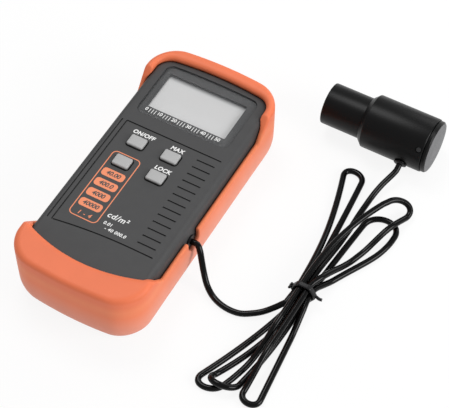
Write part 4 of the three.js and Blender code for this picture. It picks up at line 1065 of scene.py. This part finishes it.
def make_prints():
    hand_over(frame_line("range_frame", *RANGE_FRAME, INK), "case_plastic", material=PRINT_SALMON)
    for i, (value, y) in enumerate(RANGES.items()):
        centre = (RANGE_X, y)
        pill = prism(f"range_pill_{i + 1}", rounded(centre, *PILL), INK, INK + INK_DEPTH)
        hand_over(pill, "case_plastic", material=PRINT_SALMON)
        flat_text(f"range_value_{i + 1}", value, 3.4, centre, INK_WORDS, PRINT_DARK, slant=0.2, bold=0.10)
    flat_text(
        "range_caption", "1 - 4", 3.2, (-13.7, -36.0), INK_WORDS, PRINT_SALMON,
        slant=0.2, bold=0.06, spacing=1.2,
    )
    for name, (words, size, centre, slant, bold, spacing) in CAPTIONS.items():
        flat_text(name, words, size, centre, INK_WORDS, PRINT_WHITE, slant=slant, bold=bold, spacing=spacing)
    flat_text(
        "scale", SCALE_WORDS, 2.8, (-0.8, 33.2), LENS_INK, PRINT_WHITE,
        slot="window_plastic", slant=0.1, bold=0.05,
    )


make_prints()

# Strain relief and probe: turned pieces, each profile a list of (radius, distance along the axis)
GLAND_PROFILE = [
    (0, -5.3), (4.2, -5.3), (4.2, -2.5), (2.9, -2.5), (2.9, 0.3), (3.2, 0.3), (3.4, 0.45), (3.3, 0.8),
    (2.6, 0.9), (1.62, 0.9), (0, 0.9),
]
BARREL_PROFILE = [
    (11.2, 21.4), (11.5, 21.4), (11.8, 21.6), (13.7, 23.6), (14.0, 23.9), (14.1, 24.3),
    (14.1, 56.0), (14.04, 56.3), (13.8, 56.62), (13.4, 56.8), (11.2, 56.8), (11.2, 21.4),
]
NOSE_PROFILE = [
    (9.1, 0.3), (9.4, 0), (10.5, 0), (10.8, 0.12), (10.9, 0.45), (10.9, 33.4),
    (7.5, 33.4), (7.5, 28.4), (9.1, 28.4), (9.1, 0.3),
]
DISC_PROFILE = [
    (0, 52.1), (10.9, 52.1), (10.9, 57.1), (13.6, 57.1), (13.6, 58.4), (12.9, 59.14), (0, 59.14),
]
DISC_FACE_PROFILE = [(0, 59.1), (12.7, 59.1), (12.7, 59.17), (12.6, 59.2), (0, 59.2)]
GROMMET_PROFILE = [
    (0, 9.5), (2.6, 9.5), (2.6, 14.4), (3.3, 14.45), (3.4, 14.7), (3.2, 15.0), (2.4, 15.3),
    (1.7, GROMMET_FACE), (0, GROMMET_FACE),
]
GRUB_HOLE_PROFILE = [(0, 10), (1.6, 10), (1.6, 16), (0, 16)]
GRUB_FROM_MOUTH = 54.4
GRUB_RISE = math.radians(35)
PROBE_SIDES = 128


def make_gland():
    gland = turned("gland_skin", GLAND_PROFILE, (CASE_HALF, GLAND_Y, GLAND_Z), (1, 0, 0), 64)
    return hand_over(smooth(gland, 30), "black_plastic", nodes=("cord_gland",))


make_gland()


def probe_piece(name, profile):
    return turned(name, profile, (PROBE_MOUTH_X, PROBE_Y, PROBE_Z), (1, 0, 0), PROBE_SIDES)


def make_probe():
    barrel = probe_piece("barrel_skin", BARREL_PROFILE)
    grub_place = (PROBE_MOUTH_X + GRUB_FROM_MOUTH, PROBE_Y, PROBE_Z)
    grub_way = (0, -math.cos(GRUB_RISE), math.sin(GRUB_RISE))
    carve(barrel, [turned("hole", GRUB_HOLE_PROFILE, grub_place, grub_way, 32)])
    hand_over(smooth(barrel, 25), "probe_paint", nodes=("probe_barrel",))
    nose = probe_piece("nose_skin", NOSE_PROFILE)
    hand_over(smooth(nose, 25), "probe_paint", nodes=("probe_nose",))
    disc = probe_piece("disc_skin", DISC_PROFILE)
    hand_over(smooth(disc, 25), "probe_paint", nodes=("probe_end_disc",))
    face = probe_piece("disc_face", DISC_FACE_PROFILE)
    hand_over(smooth(face, 25), "disc_aluminium", nodes=("probe_end_disc",))
    start = (GROMMET_X, PROBE_Y, PROBE_Z)
    grommet = turned("grommet_skin", GROMMET_PROFILE, start, GROMMET_WAY, 48)
    hand_over(smooth(grommet, 40), "black_plastic", nodes=("probe_grommet",))


make_probe()

# Every other node keeps its shape and takes its slot's finish
REPLACED = {
    "holster", "front_case", "display_window", "cord_gland", "probe_barrel", "probe_nose", "probe_end_disc",
    "probe_grommet", "cord_lead", "cord_hank", "cord_tail", "cord_tie", *(f"{name}_key" for name in KEYS),
}
for entry in frame["record"]["subparts"]:
    if entry["node"] not in REPLACED:
        node = bpy.data.objects[entry["node"]]
        finish = GRUB_STEEL if entry["node"] == "probe_grub_screw" else FINISHES[entry["material_slot"]]
        if node.data.materials:
            for index in range(len(node.data.materials)):
                node.data.materials[index] = finish
        else:
            node.data.materials.append(finish)


# Floor and light
FLOOR_HALF = 30.0
FLOOR_COLOUR = (0.95, 0.95, 0.95, 1)
# Share of plain white that camera, glossy and see-through rays find on the floor
WHITE_SHARE = 0.88
WORLD_STRENGTH = 0.46
LIT_PLACE = (0.03, 0.02, 0.0)
# Each lamp: place, size and power
LAMPS = {
    "key": ((-0.27, 0.27, 0.91), 0.45, 3.2),
    "fill": ((1.0, 0.10, 0.5), 0.6, 6.8),
    "rim": ((0.2, 0.9, 0.5), 0.6, 1.5),
}


def math_node(tree, operation, first, second):
    """A Math node on a socket and a second socket or number."""
    made = tree.nodes.new("ShaderNodeMath")
    made.operation = operation
    link(tree, first, made.inputs[0])
    if isinstance(second, float):
        made.inputs[1].default_value = second
    else:
        link(tree, second, made.inputs[1])
    return made.outputs["Value"]


def floor_material():
    """Pale ground that takes shadows, mixed with plain white for the rays that show the background."""
    made = bpy.data.materials.new("floor")
    made.use_nodes = True
    tree = made.node_tree
    tree.nodes.clear()
    output = tree.nodes.new("ShaderNodeOutputMaterial")
    diffuse = add_node(tree, "ShaderNodeBsdfDiffuse", Color=FLOOR_COLOUR)
    glow = add_node(tree, "ShaderNodeEmission", Color=(1, 1, 1, 1), Strength=1.0)
    path = tree.nodes.new("ShaderNodeLightPath").outputs
    seen = math_node(tree, "MAXIMUM", path["Is Camera Ray"], path["Is Glossy Ray"])
    seen = math_node(tree, "MAXIMUM", seen, path["Is Transmission Ray"])
    mix = tree.nodes.new("ShaderNodeMixShader")
    link(tree, math_node(tree, "MULTIPLY", seen, WHITE_SHARE), mix.inputs["Fac"])
    link(tree, diffuse.outputs["BSDF"], mix.inputs[1])
    link(tree, glow.outputs["Emission"], mix.inputs[2])
    link(tree, mix.outputs["Shader"], output.inputs["Surface"])
    return made


def make_stage():
    corners = [(-1, -1), (1, -1), (1, 1), (-1, 1)]
    data = bpy.data.meshes.new("floor")
    data.from_pydata([(x * FLOOR_HALF, y * FLOOR_HALF, 0) for x, y in corners], [], [(0, 1, 2, 3)])
    floor = bpy.data.objects.new("floor", data)
    bpy.context.scene.collection.objects.link(floor)
    data.materials.append(floor_material())


def area_light(name, place, size, power):
    data = bpy.data.lights.new(name, "AREA")
    data.shape = "DISK"
    data.size = size
    data.energy = power
    lamp = bpy.data.objects.new(name, data)
    lamp.location = place
    lamp.rotation_euler = (Vector(LIT_PLACE) - Vector(place)).to_track_quat("-Z", "Y").to_euler()
    bpy.context.scene.collection.objects.link(lamp)


def make_light():
    scene = bpy.context.scene
    world = bpy.data.worlds.new("world")
    world.use_nodes = True
    background = world.node_tree.nodes["Background"]
    background.inputs["Color"].default_value = (1, 1, 1, 1)
    background.inputs["Strength"].default_value = WORLD_STRENGTH
    scene.world = world
    scene.view_settings.view_transform = "Standard"
    for name, (place, size, power) in LAMPS.items():
        area_light(name, place, size, power)


make_stage()
make_light()
